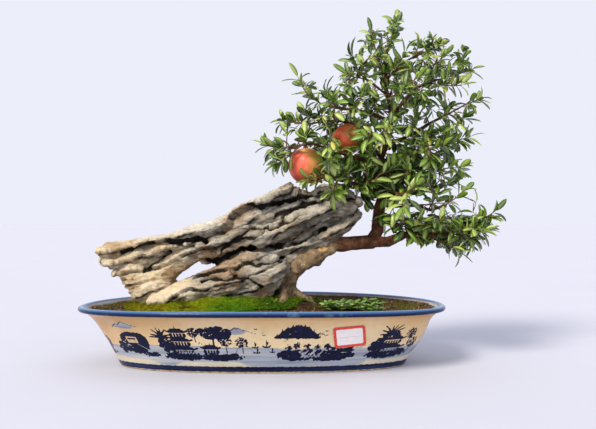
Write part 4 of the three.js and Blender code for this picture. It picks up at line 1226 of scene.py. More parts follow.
def wall_thickness(piece, points, out):
    """How thick the piece is behind each of its points, in millimetres."""
    shape = BVHTree.FromObject(piece, bpy.context.evaluated_depsgraph_get())
    thick = np.full(len(points), 99.0)
    for k, (point, way) in enumerate(zip(points, out)):
        inward = Vector(-way)
        hit = shape.ray_cast(Vector(point) + inward * 0.0005, inward, 0.06)
        if hit[0] is not None:
            thick[k] = hit[3] / MM
    return thick


def line_offsets(x, z, line):
    """How far places lie from a line seen from the front, and how far above it."""
    near, above = np.full(len(x), 1e3), np.zeros(len(x))
    for start, end in zip(line, line[1:]):
        _, dx, dz = beside(x, z, start, end)
        away = np.hypot(dx, dz)
        above = np.where(away < near, dz, above)
        near = np.minimum(near, away)
    return near, above


def make_stone(settings):
    piece, points, out = even_copy("stone", "layered_stone", settings.grain, STONE_LUMPS)
    mesh = piece.data
    thick = wall_thickness(piece, coordinates(mesh), out)
    bed, ledge, slope = settings.bed / MM, settings.ledge / MM, settings.slope
    axis = np.array([-math.sin(slope), 0, math.cos(slope)])
    run = points[:, 0] + 260
    rise = (math.tan(slope) - 0.22) * run + 0.00052 * run ** 2
    across = (points[:, 2] - rise) * math.cos(slope)
    across += 11 * cloud(points / (80, 60, 80), 3, 2) + 2.6 * cloud(points / (24, 18, 24), 5, 2)
    proud, undercut_shade = np.zeros(len(points)), np.zeros(len(points))
    for size, share, seed in ((bed, 1.0, 11), (bed * 0.34, 0.3, 13)):
        index = np.floor(across / size + 0.35 * seed)
        part = across / size + 0.35 * seed - index
        place = np.stack([points[:, 0] / (3.4 * size), points[:, 1] / (2.6 * size), index * 7.31], -1)
        broken = smooth(-0.18, 0.12, lattice(place, seed)) * 0.75 + 0.25 * lattice(place * 2.3, seed + 1)
        plate = smooth(0.02, 0.14, part) * (1 - 0.6 * smooth(0.2, 1.0, part))
        proud += share * plate * (0.3 + 0.7 * broken)
        undercut_shade += share * smooth(0.3, 0.0, np.minimum(part, 3 * (1 - part))) * (0.55 + 0.45 * broken)
    upright = 1 - 0.7 * smooth(0.6, 1.0, np.abs(out @ axis))
    chips = cloud(points / (10, 10, 6), 17, 3)
    crumbs = 0.32 - np.abs(cloud(points / (7, 7, 4.5), 19, 2))
    shift = upright * ledge * (proud - 0.34) + 1.6 * chips + 2.0 * crumbs
    shift = np.maximum(shift, -0.16 * thick)
    face = smooth(0.25, -0.2, out[:, 1])
    drift = 4.5 * cloud(points / 16, 23, 2)
    cleft = np.zeros(len(points))
    for half, depth, line in CREVICES:
        near, above = line_offsets(points[:, 0], points[:, 2] + drift, line)
        cut = smooth(half + 1.5, 0.3 * half, near) * face
        lip = (smooth(half, half + 3, above) * smooth(half + 15, half + 5, above)
               * smooth(half + 16, half + 8, near))
        shift += 3.2 * lip * face * upright - depth * cut
        cleft = np.maximum(cleft, cut)
    shift = np.maximum(shift, np.maximum(-10, -0.28 * thick))
    taper = smooth(-185, -268, points[:, 0])
    points = points + out * shift[:, None]
    points[:, 0] += 12 * taper
    move_to(mesh, spots(points))
    x, z = points[:, 0], points[:, 2]
    wobble = 10 * cloud(points / 40, 29, 2)
    high = points @ axis
    under = np.clip(-out[:, 2], 0, 1)
    warm = smooth(-90, -150, x + wobble) * smooth(215, 190, z + 0.3 * wobble)
    # Painted shade: dark under each bed's overhang, on downward faces and in the crevices, less on the warm part.
    store(mesh, "recess", np.clip((undercut_shade * upright * 0.95 + 0.5 * under) * (1 - 0.35 * warm) - 0.25 * chips
                                  + 0.9 * cleft, 0, 1))
    # Pale: the pale cap at the top left, the stone's own colour, and upward faces made paler as painted light.
    store(mesh, "pale", np.clip(smooth(215, 245, high + wobble) * smooth(40, -60, x + wobble)
                                + 0.75 * smooth(0.35, 0.85, out @ axis), 0, 1))
    store(mesh, "warm", np.clip(0.85 * warm + 0.3 * smooth(0.25, 0.6, cloud(points / 33, 31, 2)), 0, 1))
    mesh.materials.append(stone_finish(settings))
    return piece


# ---- tree ----


def make_tree(settings):
    piece, points, out = even_copy("tree", "trunk_and_limbs", settings.grain)
    mesh = piece.data
    x, z = points[:, 0], points[:, 2]
    old = np.clip(1 - np.maximum((z - 222) / 50, (x - 100) / 34), 0, 1)
    knobs = settings.knobs / MM
    lumps = cloud(points / (15, 13, 15), 41, 3)
    pits = smooth(0.5, 0.8, cloud(points / (7, 7, 9), 43, 2))
    size = 0.12 + 0.88 * old ** 1.3
    swell = np.exp(-(((x - 84) / 42) ** 2) - ((z - 176) / 38) ** 2)
    ridges = cloud(points / (6, 6, 8), 47, 2)
    limb = smooth(105, 130, x) * smooth(250, 205, x) * smooth(282, 255, z)
    points = points + out * (size * (knobs * lumps + 1.1 * ridges - 1.8 * pits) + 5 * swell + 3.2 * limb)[:, None]
    points[:, 2] += 6 * swell
    move_to(mesh, spots(points))
    store(mesh, "young", smooth(0.75, 0.1, old + 0.15 * lumps))
    # Painted shade in the pits and between the knobs of the old trunk.
    store(mesh, "recess", np.clip(pits * old + 0.5 * np.clip(-lumps - 0.5 * ridges, 0, 1) * old, 0, 1))
    scar = np.linalg.norm((points - (98, -36, 190)) / (10, 9, 6), axis=1)
    store(mesh, "cut", 0.8 * smooth(1.3, 0.4, scar + 0.35 * ridges))
    mesh.materials.append(bark_finish(settings))
    return piece


# ---- leaves ----


def leaf_blade(name, droop, fold, widest):
    """One leaf of unit length along Y: a thin closed blade on a short stalk, folded along its midrib."""
    stations = [(0, 0.014), (0.08, 0.018), (0.2, 0.11), (0.42, 0.175), (0.66, 0.178), (0.85, 0.13), (0.96, 0.055)]
    thick = 0.011
    points, uv = [], []
    for at, half in stations:
        half = half * (1 + widest * (at - 0.5))
        z = 0.12 * at - droop * at * at
        points += [(-half, at, z + fold * half), (0, at, z + thick), (half, at, z + fold * half),
                   (0, at, z - thick)]
        uv += [(0, at), (0.5, at), (1, at), (0.5, at)]
    points.append((0, 1, 0.12 - droop))
    uv.append((0.5, 1))
    faces = ring_faces(len(stations), 4)
    last = 4 * (len(stations) - 1)
    faces += [(last + j, last + (j + 1) % 4, last + 4) for j in range(4)]
    faces.append((3, 2, 1, 0))
    piece = piece_from(name, points, faces)
    face_out(piece)
    layer = piece.data.uv_layers.new(name="leaf_uv")
    for loop in piece.data.loops:
        layer.data[loop.index].uv = uv[loop.vertex_index]
    return piece


def leaf_kit():
    return kit("leaf_shapes", [leaf_blade("leaf_0", 0.26, 0.22, 0.1), leaf_blade("leaf_1", 0.42, 0.4, 0.3),
                               leaf_blade("leaf_2", 0.1, 0.3, -0.1)])


def turn_of(aim, up):
    """The turn that lays a leaf along aim with its upper side towards up."""
    aim = Vector(aim).normalized()
    up = Vector(up)
    up = (up - aim * up.dot(aim)).normalized()
    return Matrix((aim.cross(up), aim, up)).transposed().to_euler()


class Marks:
    """Leaves still to be grown: where each starts, how it lies, its size, its shape and its tone."""

    def __init__(self, seed):
        self.random = random.Random(seed)
        self.rows = []

    def add(self, base, aim, up, length, plump, tone=None):
        tone = self.random.random() if tone is None else tone
        self.rows.append((tuple(base), tuple(turn_of(aim, up)), (length * plump, length, length),
                          self.random.randrange(3), tone))

    def grow(self, name, stems, shelf, leaf, stem):
        """A piece with these leaves and the tubes that carry them."""
        points, faces = [], []
        for tube_points, tube_faces in stems:
            faces += [tuple(len(points) + k for k in face) for face in tube_faces]
            points += tube_points
        bare = len(points)
        piece = piece_from(name, points + [row[0] for row in self.rows], faces)
        blank = [(0.0, 0.0, 0.0)] * bare
        store(piece.data, "mark", [0.0] * bare + [1.0] * len(self.rows))
        store(piece.data, "turn", blank + [row[1] for row in self.rows], "FLOAT_VECTOR")
        store(piece.data, "size", blank + [row[2] for row in self.rows], "FLOAT_VECTOR")
        store(piece.data, "kind", [0] * bare + [row[3] for row in self.rows], "INT")
        store(piece.data, "tone", [0.5] * bare + [row[4] for row in self.rows])
        grow(piece, tree_named("Leaves at marks", leaves_tree),
             {"Leaves": shelf, "Leaf finish": leaf, "Stem finish": stem, "Plumpness": 1.0})
        piece.data.shade_smooth()
        return piece


def read_spray(node):
    """The leaves of a spray's solid as base, aim, up, length and half-width, and its twig's corner points."""
    piece = merged_copy(node, "reading")
    shape = bmesh.new()
    shape.from_mesh(piece.data)
    leaves, used = [], set()
    for vert in shape.verts:
        ring = [edge.other_vert(vert) for edge in vert.link_edges]
        if len(ring) != 4:
            continue
        pairs = pair_up(shape, ring)
        if pairs is None:
            continue
        (thin, top, bottom), (wide, right, left) = pairs
        if not (LEAF_THICK[0] < thin < LEAF_THICK[1] and LEAF_WIDE[0] < wide < LEAF_WIDE[1]):
            continue
        centre = (top.co + bottom.co) / 2
        rise = (right.co + left.co) / 2 - centre
        aim = vert.co - centre
        length = aim.length / LEAF_TIP
        up = (rise - aim * rise.dot(aim) / aim.length_squared).normalized()
        aim = (aim + up * LEAF_DROOP * length).normalized()
        base = centre - aim * LEAF_RING * length + up * LEAF_LIFT * length
        leaves.append((base.copy(), aim.copy(), up.copy(), length, wide / 2))
        used.update(v.index for v in (vert, top, bottom, right, left))
    twig = np.array([vert.co for vert in shape.verts if vert.index not in used])
    shape.free()
    discard(piece)
    return leaves, twig


def pair_up(shape, ring):
    """The two opposite pairs of a ring of four points, the nearer pair first."""
    first = ring[0]
    across = [other for other in ring[1:] if shape.edges.get((first, other)) is None]
    if len(across) != 1:
        return None
    rest = [vert for vert in ring[1:] if vert is not across[0]]
    pairs = [((first.co - across[0].co).length, first, across[0]), ((rest[0].co - rest[1].co).length, *rest)]
    return sorted(pairs, key=lambda pair: pair[0])


def twig_path(points, wood):
    """The middle line of a twig from its corner points, starting at the limb that carries it."""
    middle = points.mean(0)
    way = np.linalg.svd(points - middle)[2][0]
    order = points[np.argsort((points - middle) @ way)]
    groups = max(3, len(order) // 8)
    path = [part.mean(0) for part in np.array_split(order, groups)]
    path = [order[:4].mean(0), *path[1:-1], order[-4:].mean(0)]
    ends = [wood.find_nearest(Vector(p))[3] for p in (path[0], path[-1])]
    if ends[1] < ends[0]:
        path.reverse()
    path = np.array(path)
    path[0] += (path[0] - path[1]) / np.linalg.norm(path[0] - path[1]) * 0.003
    return path


def on_path(path, part):
    at = part * (len(path) - 1)
    k = min(int(at), len(path) - 2)
    return path[k] + (path[k + 1] - path[k]) * (at - k), path[k + 1] - path[k]


class Crown:
    """The room that the leaves may take, and what stands in it already."""

    def __init__(self, settings):
        self.settings = settings
        self.wood = BVHTree.FromPolygons(*plain_mesh("tree"))
        self.stone = BVHTree.FromPolygons(*plain_mesh("stone"))
        self.middles = []
        x, z = np.meshgrid(np.arange(-60, 460, 2.0), np.arange(150, 640, 2.0))
        self.field = inside_outline(x.ravel(), z.ravel()).reshape(x.shape)

    def margin(self, x, z):
        """How far a place lies inside the outline of the crown, seen from the front."""
        place = round((z - 150) / 2), round((x + 60) / 2)
        return self.field[tuple(min(max(at, 0), count - 1) for at, count in zip(place, self.field.shape))]

    def tone(self, rand, middle):
        """How light a leaf is: a random tone, kept pale in the open and darkened inside the crown as painted
        shade.
        """
        depth = min(CROWN_DEPTH, 14 + 1.15 * max(0.0, self.margin(middle[0], middle[2])))
        return rand.random() * (0.5 + 0.5 * float(smooth(0.15, 0.85, abs(middle[1]) / depth)))

    def clear(self, base, aim, length):
        """Whether a leaf or shoot stays out of the fruit and the stone."""
        for part in (0.2, 0.4, 0.6, 0.8, 1.0):
            place = np.array(base) + np.array(aim) * length * part
            point = from_tray(place)
            for fruit in FRUITS.values():
                if np.linalg.norm(point - fruit["centre"]) < fruit["radius"] + 6:
                    return False
            near, normal, _, gap = self.stone.find_nearest(Vector(place))
            if gap < 0.009 or (Vector(place) - near).dot(normal) < 0:
                return False
        return True

    def hides_fruit(self, point):
        """Whether a place lies straight in front of a fruit's open side, up and to the left."""
        return any(point[1] < fruit["centre"][1] and math.hypot(
                   point[0] - fruit["centre"][0] + 0.2 * fruit["radius"],
                   point[2] - fruit["centre"][2] - 0.2 * fruit["radius"]) < 0.88 * fruit["radius"]
                   for fruit in FRUITS.values())

    def leaf(self, marks, base, aim, up, length, plump):
        """A leaf, smaller towards the top, if there is room for it."""
        high = float(smooth(310, 470, from_tray(base)[2]))
        length, plump = length * (1.1 - 0.36 * high), plump * (1 + 0.2 * high)
        middle = from_tray(np.array(base) + np.array(aim) * length * 0.55)
        stray = self.margin(middle[0], middle[2]) < -5 or (middle[1] < 0 and middle[0] < 134 and middle[2] < 272)
        if self.clear(base, aim, length) and not self.hides_fruit(middle) and not stray:
            marks.add(base, aim, up, length, plump, self.tone(marks.random, middle))
            self.middles.append(middle)

    def sprout(self, marks, base, aim, least=1.0):
        """A leaf between the shortest and the longest, its upper side to the light."""
        rand = marks.random
        length = rand.uniform(self.settings.shortest * least, self.settings.longest)
        self.leaf(marks, base, aim, upper_side(rand, base), length, rand.uniform(0.9, 1.2))

    def candidates(self, rand):
        """Seeded places in the crown, inside its outline and out of its clearings."""
        (left, low), (right, high) = np.min(CROWN_LINE, 0), np.max(CROWN_LINE, 0)
        points = rand.uniform((left, -1, low), (right, 1, high), (CROWN_TRIES, 3))
        edge = inside_outline(points[:, 0], points[:, 2])
        points[:, 1] *= np.clip(14 + 1.15 * edge, 0, CROWN_DEPTH)
        rear = rand.uniform((45, 52, 250), (165, 86, 305), (45, 3))
        return [point for point in (*rear, *points[edge > 5]) if not self.hides_fruit(point)]


def inside_outline(x, z):
    """How far places lie inside the crown's outline and out of its clearings, seen from the front."""
    line = np.array(CROWN_LINE, float)
    inside, edge = np.zeros(len(x), bool), np.full(len(x), 1e3)
    for (x0, z0), (x1, z1) in zip(line, np.roll(line, -1, 0)):
        cross = (z0 > z) != (z1 > z)
        inside ^= cross & (x < x0 + (z - z0) / (z1 - z0 + 1e-9) * (x1 - x0))
        _, dx, dz = beside(x, z, (x0, z0), (x1, z1))
        edge = np.minimum(edge, np.hypot(dx, dz))
    edge = np.where(inside, edge, -edge)
    for cx, cz, radius in CLEARINGS:
        edge = np.minimum(edge, np.hypot(x - cx, z - cz) - radius)
    return edge


def outward(place):
    """The direction from the crown's middle line to a place, with no rise."""
    x, y, _ = from_tray(place)
    way = np.array([x - CROWN_AXIS, y, 0])
    return way / (np.linalg.norm(way) + 1e-9)


def unit(vector):
    return vector / (np.linalg.norm(vector) + 1e-12)


def any_way(rand, low, high):
    """A seeded direction between two."""
    return np.array([rand.uniform(a, b) for a, b in zip(low, high)])


def upper_side(rand, place):
    """Where a leaf turns its upper side: to the light above and outside, more or less."""
    return np.array([rand.uniform(-0.6, 0.6), rand.uniform(-0.6, 0.6), 0.7]) + 0.5 * outward(place)


def add_shoot(crown, marks, stems, start, end, bare):
    """A thin bent shoot with pairs of leaves, each pair turned a quarter from the last, and a tuft at its tip."""
    rand = marks.random
    span = np.linalg.norm(end - start)
    bend = any_way(rand, (-1, -1, -0.2), (1, 1, 1)) * span * 0.13
    path = np.array([start, start + (end - start) * 0.35 + bend, start + (end - start) * 0.7 + bend * 0.8, end])
    stems.append(tube(path, np.linspace(min(0.0011, 0.0007 + span * 0.01), 0.0005, 4), 4))
    pairs = max(1, round(span * (1 - bare) / 0.0065))
    quarter = rand.uniform(0, math.pi)
    for k in range(pairs):
        base, heading = on_path(path, bare + (1 - bare) * (k + 0.5) / pairs)
        heading = unit(heading)
        side = unit(np.cross(heading, (0.3, 0.2, 0.9)))
        other = np.cross(heading, side)
        for half in (0, math.pi):
            turn = quarter + k * math.pi / 2 + half + rand.uniform(-0.4, 0.4)
            open_out = rand.uniform(0.6, 1.15)
            sideways = side * math.cos(turn) + other * math.sin(turn)
            crown.sprout(marks, base, heading * math.cos(open_out) + sideways * math.sin(open_out))
    for _ in range(3):
        aim = unit(unit(path[-1] - path[-2]) + 0.75 * any_way(rand, (-1, -1, -1), (1, 1, 1)))
        crown.sprout(marks, path[-1], aim, 0.8)


def add_spray_leaves(crown, marks, path):
    """More leaves all along the twig of a spray."""
    rand, count = marks.random, crown.settings.extra
    for k in range(count):
        base, heading = on_path(path, 0.12 + 0.88 * (k + rand.random()) / count)
        heading = unit(heading)
        side = unit(np.cross(heading, any_way(rand, (-1, -1, -1), (1, 1, 1))))
        aim = unit(side + heading * rand.uniform(0.3, 1.3) + np.array([0, 0, rand.uniform(-0.2, 0.35)]))
        crown.sprout(marks, base, aim)


def make_sprays(settings):
    """Each spray of the solids as a round twig with fine leaves, and the side shoots that fill the crown."""
    crown = Crown(settings)
    names = sorted(n for n in frame["nodes"] if "_spray_" in n)
    groups, holds, owners = [], [], []
    for seed, node in enumerate(names):
        leaves, corners = read_spray(node)
        marks, path = Marks(100 + seed), twig_path(corners, crown.wood)
        for base, aim, up, length, half in leaves:
            marks.add(base, aim, up, length, half / length / LEAF_HALF)
            crown.middles.append(from_tray(base + aim * length * 0.55))
        add_spray_leaves(crown, marks, path)
        groups.append((marks, [tube(path, np.linspace(1.25, 0.7, len(path)) * MM)]))
        for part in np.linspace(0.1, 1, 9):
            holds.append(on_path(path, part)[0])
            owners.append(seed)
    spurs = (Marks(977), [])
    groups.append(spurs)
    names.append(None)
    for place in limb_places(spurs[0].random, 900):
        holds.append(place[0])
        owners.append(len(groups) - 1)
    add_spurs(crown, *spurs)
    fill_crown(crown, groups, holds, owners)
    shelf = leaf_kit()
    leaf = leaf_finish("pomegranate_leaf", settings.dark, settings.light, "#c9c055")
    stem = twig_finish()
    made = [(marks.grow((node or "spur") + "_leaves", stems, shelf, leaf, stem), node)
            for node, (marks, stems) in zip(names, groups)]
    clear_kit(shelf)
    return made


def fill_crown(crown, groups, holds, owners):
    """Grows side shoots from the nearest twig into the places that are still without leaves."""
    rand = np.random.default_rng(311)
    holds = [np.array(h) for h in holds]
    grown = 0
    for target in crown.candidates(rand):
        if grown == crown.settings.shoots:
            break
        gaps = np.linalg.norm(np.array(crown.middles) - target, axis=1)
        open_up = (0.82 + 0.28 * float(smooth(300, 400, target[2])) + 0.6 * float(smooth(120, 50, target[0]))
                   - 0.12 * float(smooth(300, 240, target[2]) * smooth(180, 240, target[0])))
        if gaps.min() * MM < crown.settings.spacing * open_up:
            continue
        end = spots(target)
        reach = np.linalg.norm(np.array(holds) - end, axis=1)
        reach[reach < SHOOT_LEAST] = 1.0
        nearest = int(reach.argmin())
        start = holds[nearest]
        if reach[nearest] > SHOOT_REACH or not crown.clear(start, unit(end - start), reach[nearest]):
            continue
        marks, stems = groups[owners[nearest]]
        add_shoot(crown, marks, stems, start, end, 0.3 if reach[nearest] > SHOOT_BARE else 0.1)
        holds += [start + (end - start) * 0.5, end]
        owners += [owners[nearest]] * 2
        grown += 1


def limb_places(rand, count):
    """Seeded places on the limbs, each with the direction out of the bark."""
    points, faces = plain_mesh("tree")
    points, faces = np.array(points), np.array(faces)
    corners = points[faces]
    normal = np.cross(corners[:, 1] - corners[:, 0], corners[:, 2] - corners[:, 0])
    area = np.linalg.norm(normal, axis=1)
    centre = from_tray(corners.mean(1))
    wanted = (centre[:, 2] > 240) | ((centre[:, 0] > 215) & (centre[:, 2] > 190))
    wanted |= (centre[:, 0] > 168) & (centre[:, 2] > 222)
    share = np.cumsum(np.where(wanted, area ** 0.5, 0))
    places = []
    for _ in range(count):
        face = int(np.searchsorted(share, rand.random() * share[-1]))
        a, b = sorted((rand.random(), rand.random()))
        out = normal[face] / area[face]
        places.append((corners[face].T @ (a, b - a, 1 - b) - out * 0.001, out))
    return places


def add_spurs(crown, marks, stems):
    """Short spurs with a few leaves each, along the bare limbs."""
    rand, settings = marks.random, crown.settings
    for start, out in limb_places(rand, settings.spurs):
        way = unit(out + any_way(rand, (-0.4, -0.4, 0), (0.4, 0.4, 0.7)))
        reach = rand.uniform(0.005, 0.014)
        end = start + way * reach
        if not crown.clear(start, way, reach + 0.008):
            continue
        stems.append(tube([start - out * 0.001, start + way * reach / 2, end], [0.0008, 0.0007, 0.0006], 4))
        for _ in range(rand.randint(3, 6)):
            aim = unit(way * 0.8 + any_way(rand, (-1, -1, -1), (1, 1, 1)))
            length = rand.uniform(settings.shortest * 0.85, settings.longest * 0.9)
            crown.leaf(marks, end - way * 0.0004, aim, upper_side(rand, end), length, rand.uniform(0.9, 1.2))


def twig_finish():
    look = Finish("twig_bark")
    flecks = look.noise(260, 5, 0.65)
    look.body = look.ramp(flecks, (0.3, "#3a1d14"), (0.5, "#6b3a26"), (0.7, "#8c5a38"))
    return look.done(look.level(flecks, 0.3, 0.7, 0.6, 0.8), look.bump(flecks, 0.0005, 0.8))


def plain_mesh(node):
    piece = merged_copy(node, "reading")
    points = [tuple(v.co) for v in piece.data.vertices]
    faces = [tuple(p.vertices) for p in piece.data.polygons]
    discard(piece)
    return points, faces


# ---- soil and moss ----


def mossy(points):
    """How far a place lies inside the moss mat: 1 in its middle, 0 at its edge, less outside."""
    u, v = (points[:, 0] + 68) / 182, (points[:, 1] + 3) / 112
    angle = np.arctan2(v, u)
    wave = 1 + 0.05 * np.sin(3 * angle + 1) + 0.035 * np.sin(7 * angle)
    return 1 - np.hypot(u, v) / wave


def soil_grain(name, seed):
    shape = bmesh.new()
    bmesh.ops.create_icosphere(shape, subdivisions=1, radius=0.5)
    points = np.array([v.co for v in shape.verts])
    lumps = lattice(points * 2 + seed, seed)
    for vert, lump in zip(shape.verts, lumps):
        vert.co = vert.co * (1 + 0.35 * lump)
        vert.co.z *= 0.75
    return piece_of(name, mesh_of(name, shape))


def moss_tuft(name, seed):
    """A few leaning closed spikes from one root, of unit height."""
    rand = random.Random(seed)
    points, faces = [], []
    for k in range(4):
        angle = 2 * math.pi * k / 4 + rand.uniform(-0.4, 0.4)
        root = Vector((0.16 * math.cos(angle), 0.16 * math.sin(angle), -0.15))
        tip = Vector((0.42 * math.cos(angle), 0.42 * math.sin(angle), rand.uniform(0.7, 1.1)))
        first = len(points)
        for j in range(3):
            turn = 2 * math.pi * j / 3 + angle
            points.append(root + Vector((0.11 * math.cos(turn), 0.11 * math.sin(turn), 0)))
        points.append(tip)
        faces += [(first, first + 1, first + 3), (first + 1, first + 2, first + 3), (first + 2, first, first + 3),
                  (first + 2, first + 1, first)]
    piece = piece_from(name, points, faces)
    face_out(piece)
    return piece


def scaled(piece, size):
    piece.data.transform(Matrix.Scale(size, 4))
    return piece


def strew(piece, things, density, smallest, largest, tilt, seed, finish):
    """Covers a piece with copies of small shapes, and takes those shapes away."""
    shelf = kit(piece.name + "_bits", things)
    grow(piece, tree_named("Strewn on a surface", scatter_tree), {
        "Things": shelf, "To a square metre": density, "Smallest": smallest, "Largest": largest, "Tilt": tilt,
        "Seed": seed, "Finish": finish, "Ground finish": finish})
    clear_kit(shelf)
    piece.data.shade_smooth()
    return piece


def soil_reach(x, y):
    """How far out a place lies on the soil, as the half-length of the oval through it."""
    return (abs(x) ** OVAL_POWER + abs(y * SOIL_FLATNESS) ** OVAL_POWER) ** (1 / OVAL_POWER)


def make_soil(settings):
    piece, points, out = even_copy("soil", "planting_soil", 3.3 * MM)
    mesh = piece.data
    top = smooth(0.4, 0.8, out[:, 2]) * smooth(77, 80, points[:, 2])
    points[:, 2] += top * (0.9 * cloud(points / 14, 51, 3) + 0.6 * cloud(points / 5, 53, 2))
    x, y = points[:, 0], points[:, 1]
    reach = soil_reach(x, y) / SOIL_REACH
    bank = (smooth(0.45, 0.94, reach) * np.maximum(smooth(-10, 60, y), smooth(215, 255, np.abs(x)))
            * smooth(0.0, -0.16, mossy(points)) * top)
    rise = bank * np.clip(BANK_TOP - END_DIP * (x / RIM_LENGTH) ** 2 - points[:, 2], 0, 13)
    points[:, 2] += rise
    points[:, :2] *= (1 + 1.02 * rise / SOIL_REACH * smooth(0.86, 0.97, reach))[:, None]
    move_to(mesh, spots(points))
    store(mesh, "room", top * smooth(0.1, 0.0, mossy(points)))
    grains = [scaled(soil_grain(f"grain_{k}", 60 + k), settings.grain_size) for k in range(4)]
    return strew(piece, grains, settings.grains, 0.45, 1.5, 3.0, 5, soil_finish(settings))


def make_moss(settings):
    piece, points, out = even_copy("moss", "moss_mat", 2.2 * MM)
    mesh = piece.data
    top = smooth(0.2, 0.7, out[:, 2])
    cushions = cloud(points / (17, 15, 17), 61, 3)
    points[:, 2] += top * (1.5 * cushions + 0.6 * cloud(points / 5, 63, 2))
    move_to(mesh, spots(points))
    store(mesh, "room", top * smooth(-0.9, 0.2, cushions))
    tufts = [scaled(moss_tuft(f"tuft_{k}", 70 + k), settings.tuft_height) for k in range(3)]
    return strew(piece, tufts, settings.tufts, 0.5, 1.2, 0.5, 9, moss_finish())


# ---- weeds, fruit, label, pebble ----


def ground_height(x, y):
    """Height of the mounded soil, as in its solid."""
    hill = 21 * math.exp(-(((x + 70) / 200) ** 2) - (y / 90) ** 2)
    lumps = 1.5 * math.sin(x / 17 + 1) * math.cos(y / 13) + 1.2 * math.sin(x / 9 - y / 21)
    return 91 + (hill + lumps) * (1 - min(1, soil_reach(x, y) / 270) ** 5)


def make_weeds():
    """A creeping weed with upright leafy stems, and a sprout at the foot of the trunk."""
    marks = Marks(555)
    rand = marks.random
    runner = [spots((x, y, ground_height(x, y) + rise)) for x, y, rise in WEED_RUNNER]
    stems = [tube(runner, [0.0008] * len(runner), 5)]
    starts = []
    for _ in range(44):
        base, _ = on_path(runner, rand.uniform(0.03, 0.92))
        starts.append(base + np.array([rand.uniform(-0.004, 0.004), rand.uniform(-0.016, 0.012), 0]))
    for _ in range(5):
        starts.append(spots((rand.uniform(6, 24), rand.uniform(-62, -54), ground_height(15, -58) + 2)))
    for start in starts:
        x, y, _ = from_tray(start)
        foot = spots((x, y, ground_height(x, y) - 2))
        rise = rand.uniform(0.007, 0.019) * (0.55 + 0.45 * float(smooth(100, 140, x)))
        lean = np.array([rand.uniform(-0.5, 0.5), rand.uniform(-0.5, 0.3), 1.0])
        top = foot + lean * rise
        stems.append(tube([foot, (foot + top) / 2, top], [0.0006, 0.0005, 0.0004], 4))
        for k in range(rand.randint(4, 7)):
            part = 1 - 0.13 * k
            angle = 2.4 * k + rand.uniform(-0.4, 0.4)
            aim = np.array([math.cos(angle), math.sin(angle), rand.uniform(0.1, 0.7)])
            marks.add(foot + (top - foot) * part, aim, (0, -0.3, 1), rand.uniform(0.007, 0.0125),
                      rand.uniform(1.6, 2.1))
    shelf = leaf_kit()
    leaf = leaf_finish("weed_leaf", hue("#2f5e22")[:3], hue("#8cbc55")[:3], "#b0d070", 0.6, 0.25)
    piece = marks.grow("creeping_weeds", stems, shelf, leaf, twig_finish())
    clear_kit(shelf)
    return piece


def make_fruit(name, settings, finish):
    """A round ribbed fruit with its crown of six sepals, turned about its own axis."""
    fruit = FRUITS[name]
    radius, count = fruit["radius"], settings.around
    body = [(0, -0.99), (0.12, -0.985), (0.3, -0.95), (0.5, -0.88), (0.7, -0.73), (0.87, -0.52), (0.96, -0.28),
            (1.0, -0.03), (0.975, 0.22), (0.9, 0.45), (0.77, 0.65), (0.6, 0.79), (0.44, 0.87), (0.33, 0.92),
            (0.27, 0.97), (0.24, 1.03), (0.22, 1.1), (0.235, 1.18), (0.27, 1.26), (0.3, 1.3), (0.28, 1.32),
            (0.24, 1.27), (0.2, 1.18), (0.17, 1.08), (0.12, 1.03), (0, 1.02)]
    axis = Vector(fruit["crown"]).normalized()
    turn = Vector((0, 0, 1)).rotation_difference(axis)
    rows = eased(eased(body, 1), 1)
    local = []
    for out, high in rows[1:-1]:
        for k in range(count):
            angle = 2 * math.pi * k / count
            teeth = max(0.0, (high - 1.08) / 0.24)
            rib = 1 + 0.014 * math.cos(6 * angle) * (1 if high < 0.9 else 0)
            tall = high + 0.11 * teeth * (math.cos(6 * angle) - 0.4)
            wide = out * rib * (1 + 0.25 * teeth * (0.5 + 0.5 * math.cos(6 * angle)))
            local.append(Vector((wide * math.cos(angle), wide * math.sin(angle), tall)))
    local += [Vector((0, 0, rows[0][1])), Vector((0, 0, rows[-1][1]))]
    faces = ring_faces(len(rows) - 2, count)
    south, north = len(local) - 2, len(local) - 1
    last = (len(rows) - 3) * count
    for j in range(count):
        faces.append((south, (j + 1) % count, j))
        faces.append((north, last + j, last + (j + 1) % count))
    rough = np.array([tuple(p) for p in local])
    dents = 0.012 * cloud(rough * 2.2, 80, 2)
    around = np.array([tuple(turn @ p) for p in local])
    placed = around * (1 + dents[:, None]) * radius + fruit["centre"]
    piece = piece_from(name + "_skin", spots(placed), faces, finish)
    face_out(piece)
    way = around / np.linalg.norm(around, axis=1, keepdims=True)
    wander = 0.25 * cloud(way * 2.6, 83, 3)
    store(piece.data, "side", smooth(-0.05, 0.35, way @ (0.85, -0.1, 0.3) + wander))
    store(piece.data, "back", smooth(0.5, 0.85, way @ (0.95, -0.1, 0.0) + wander))
    store(piece.data, "calyx", smooth(0.95, 1.08, rough[:, 2] + 0.2 * (np.hypot(rough[:, 0], rough[:, 1]) < 0.4)
                                      * (rough[:, 2] > 0.8)))
    return piece


def front_wall(x, height):
    """Points on the front wall's outside and their outward directions, in millimetres."""
    reach_at, height_at = np.array(WALL_LINE[3:]).T

    def at(px, z):
        reach = np.interp(z, height_at, reach_at)
        return oval_points(reach, -np.arccos((px / reach) ** (OVAL_POWER / 2)), z)

    point = at(x, height)
    normal = np.cross(at(x + 1, height) - point, at(x, height + 1) - point)
    return point, normal / np.linalg.norm(normal, axis=-1, keepdims=True)


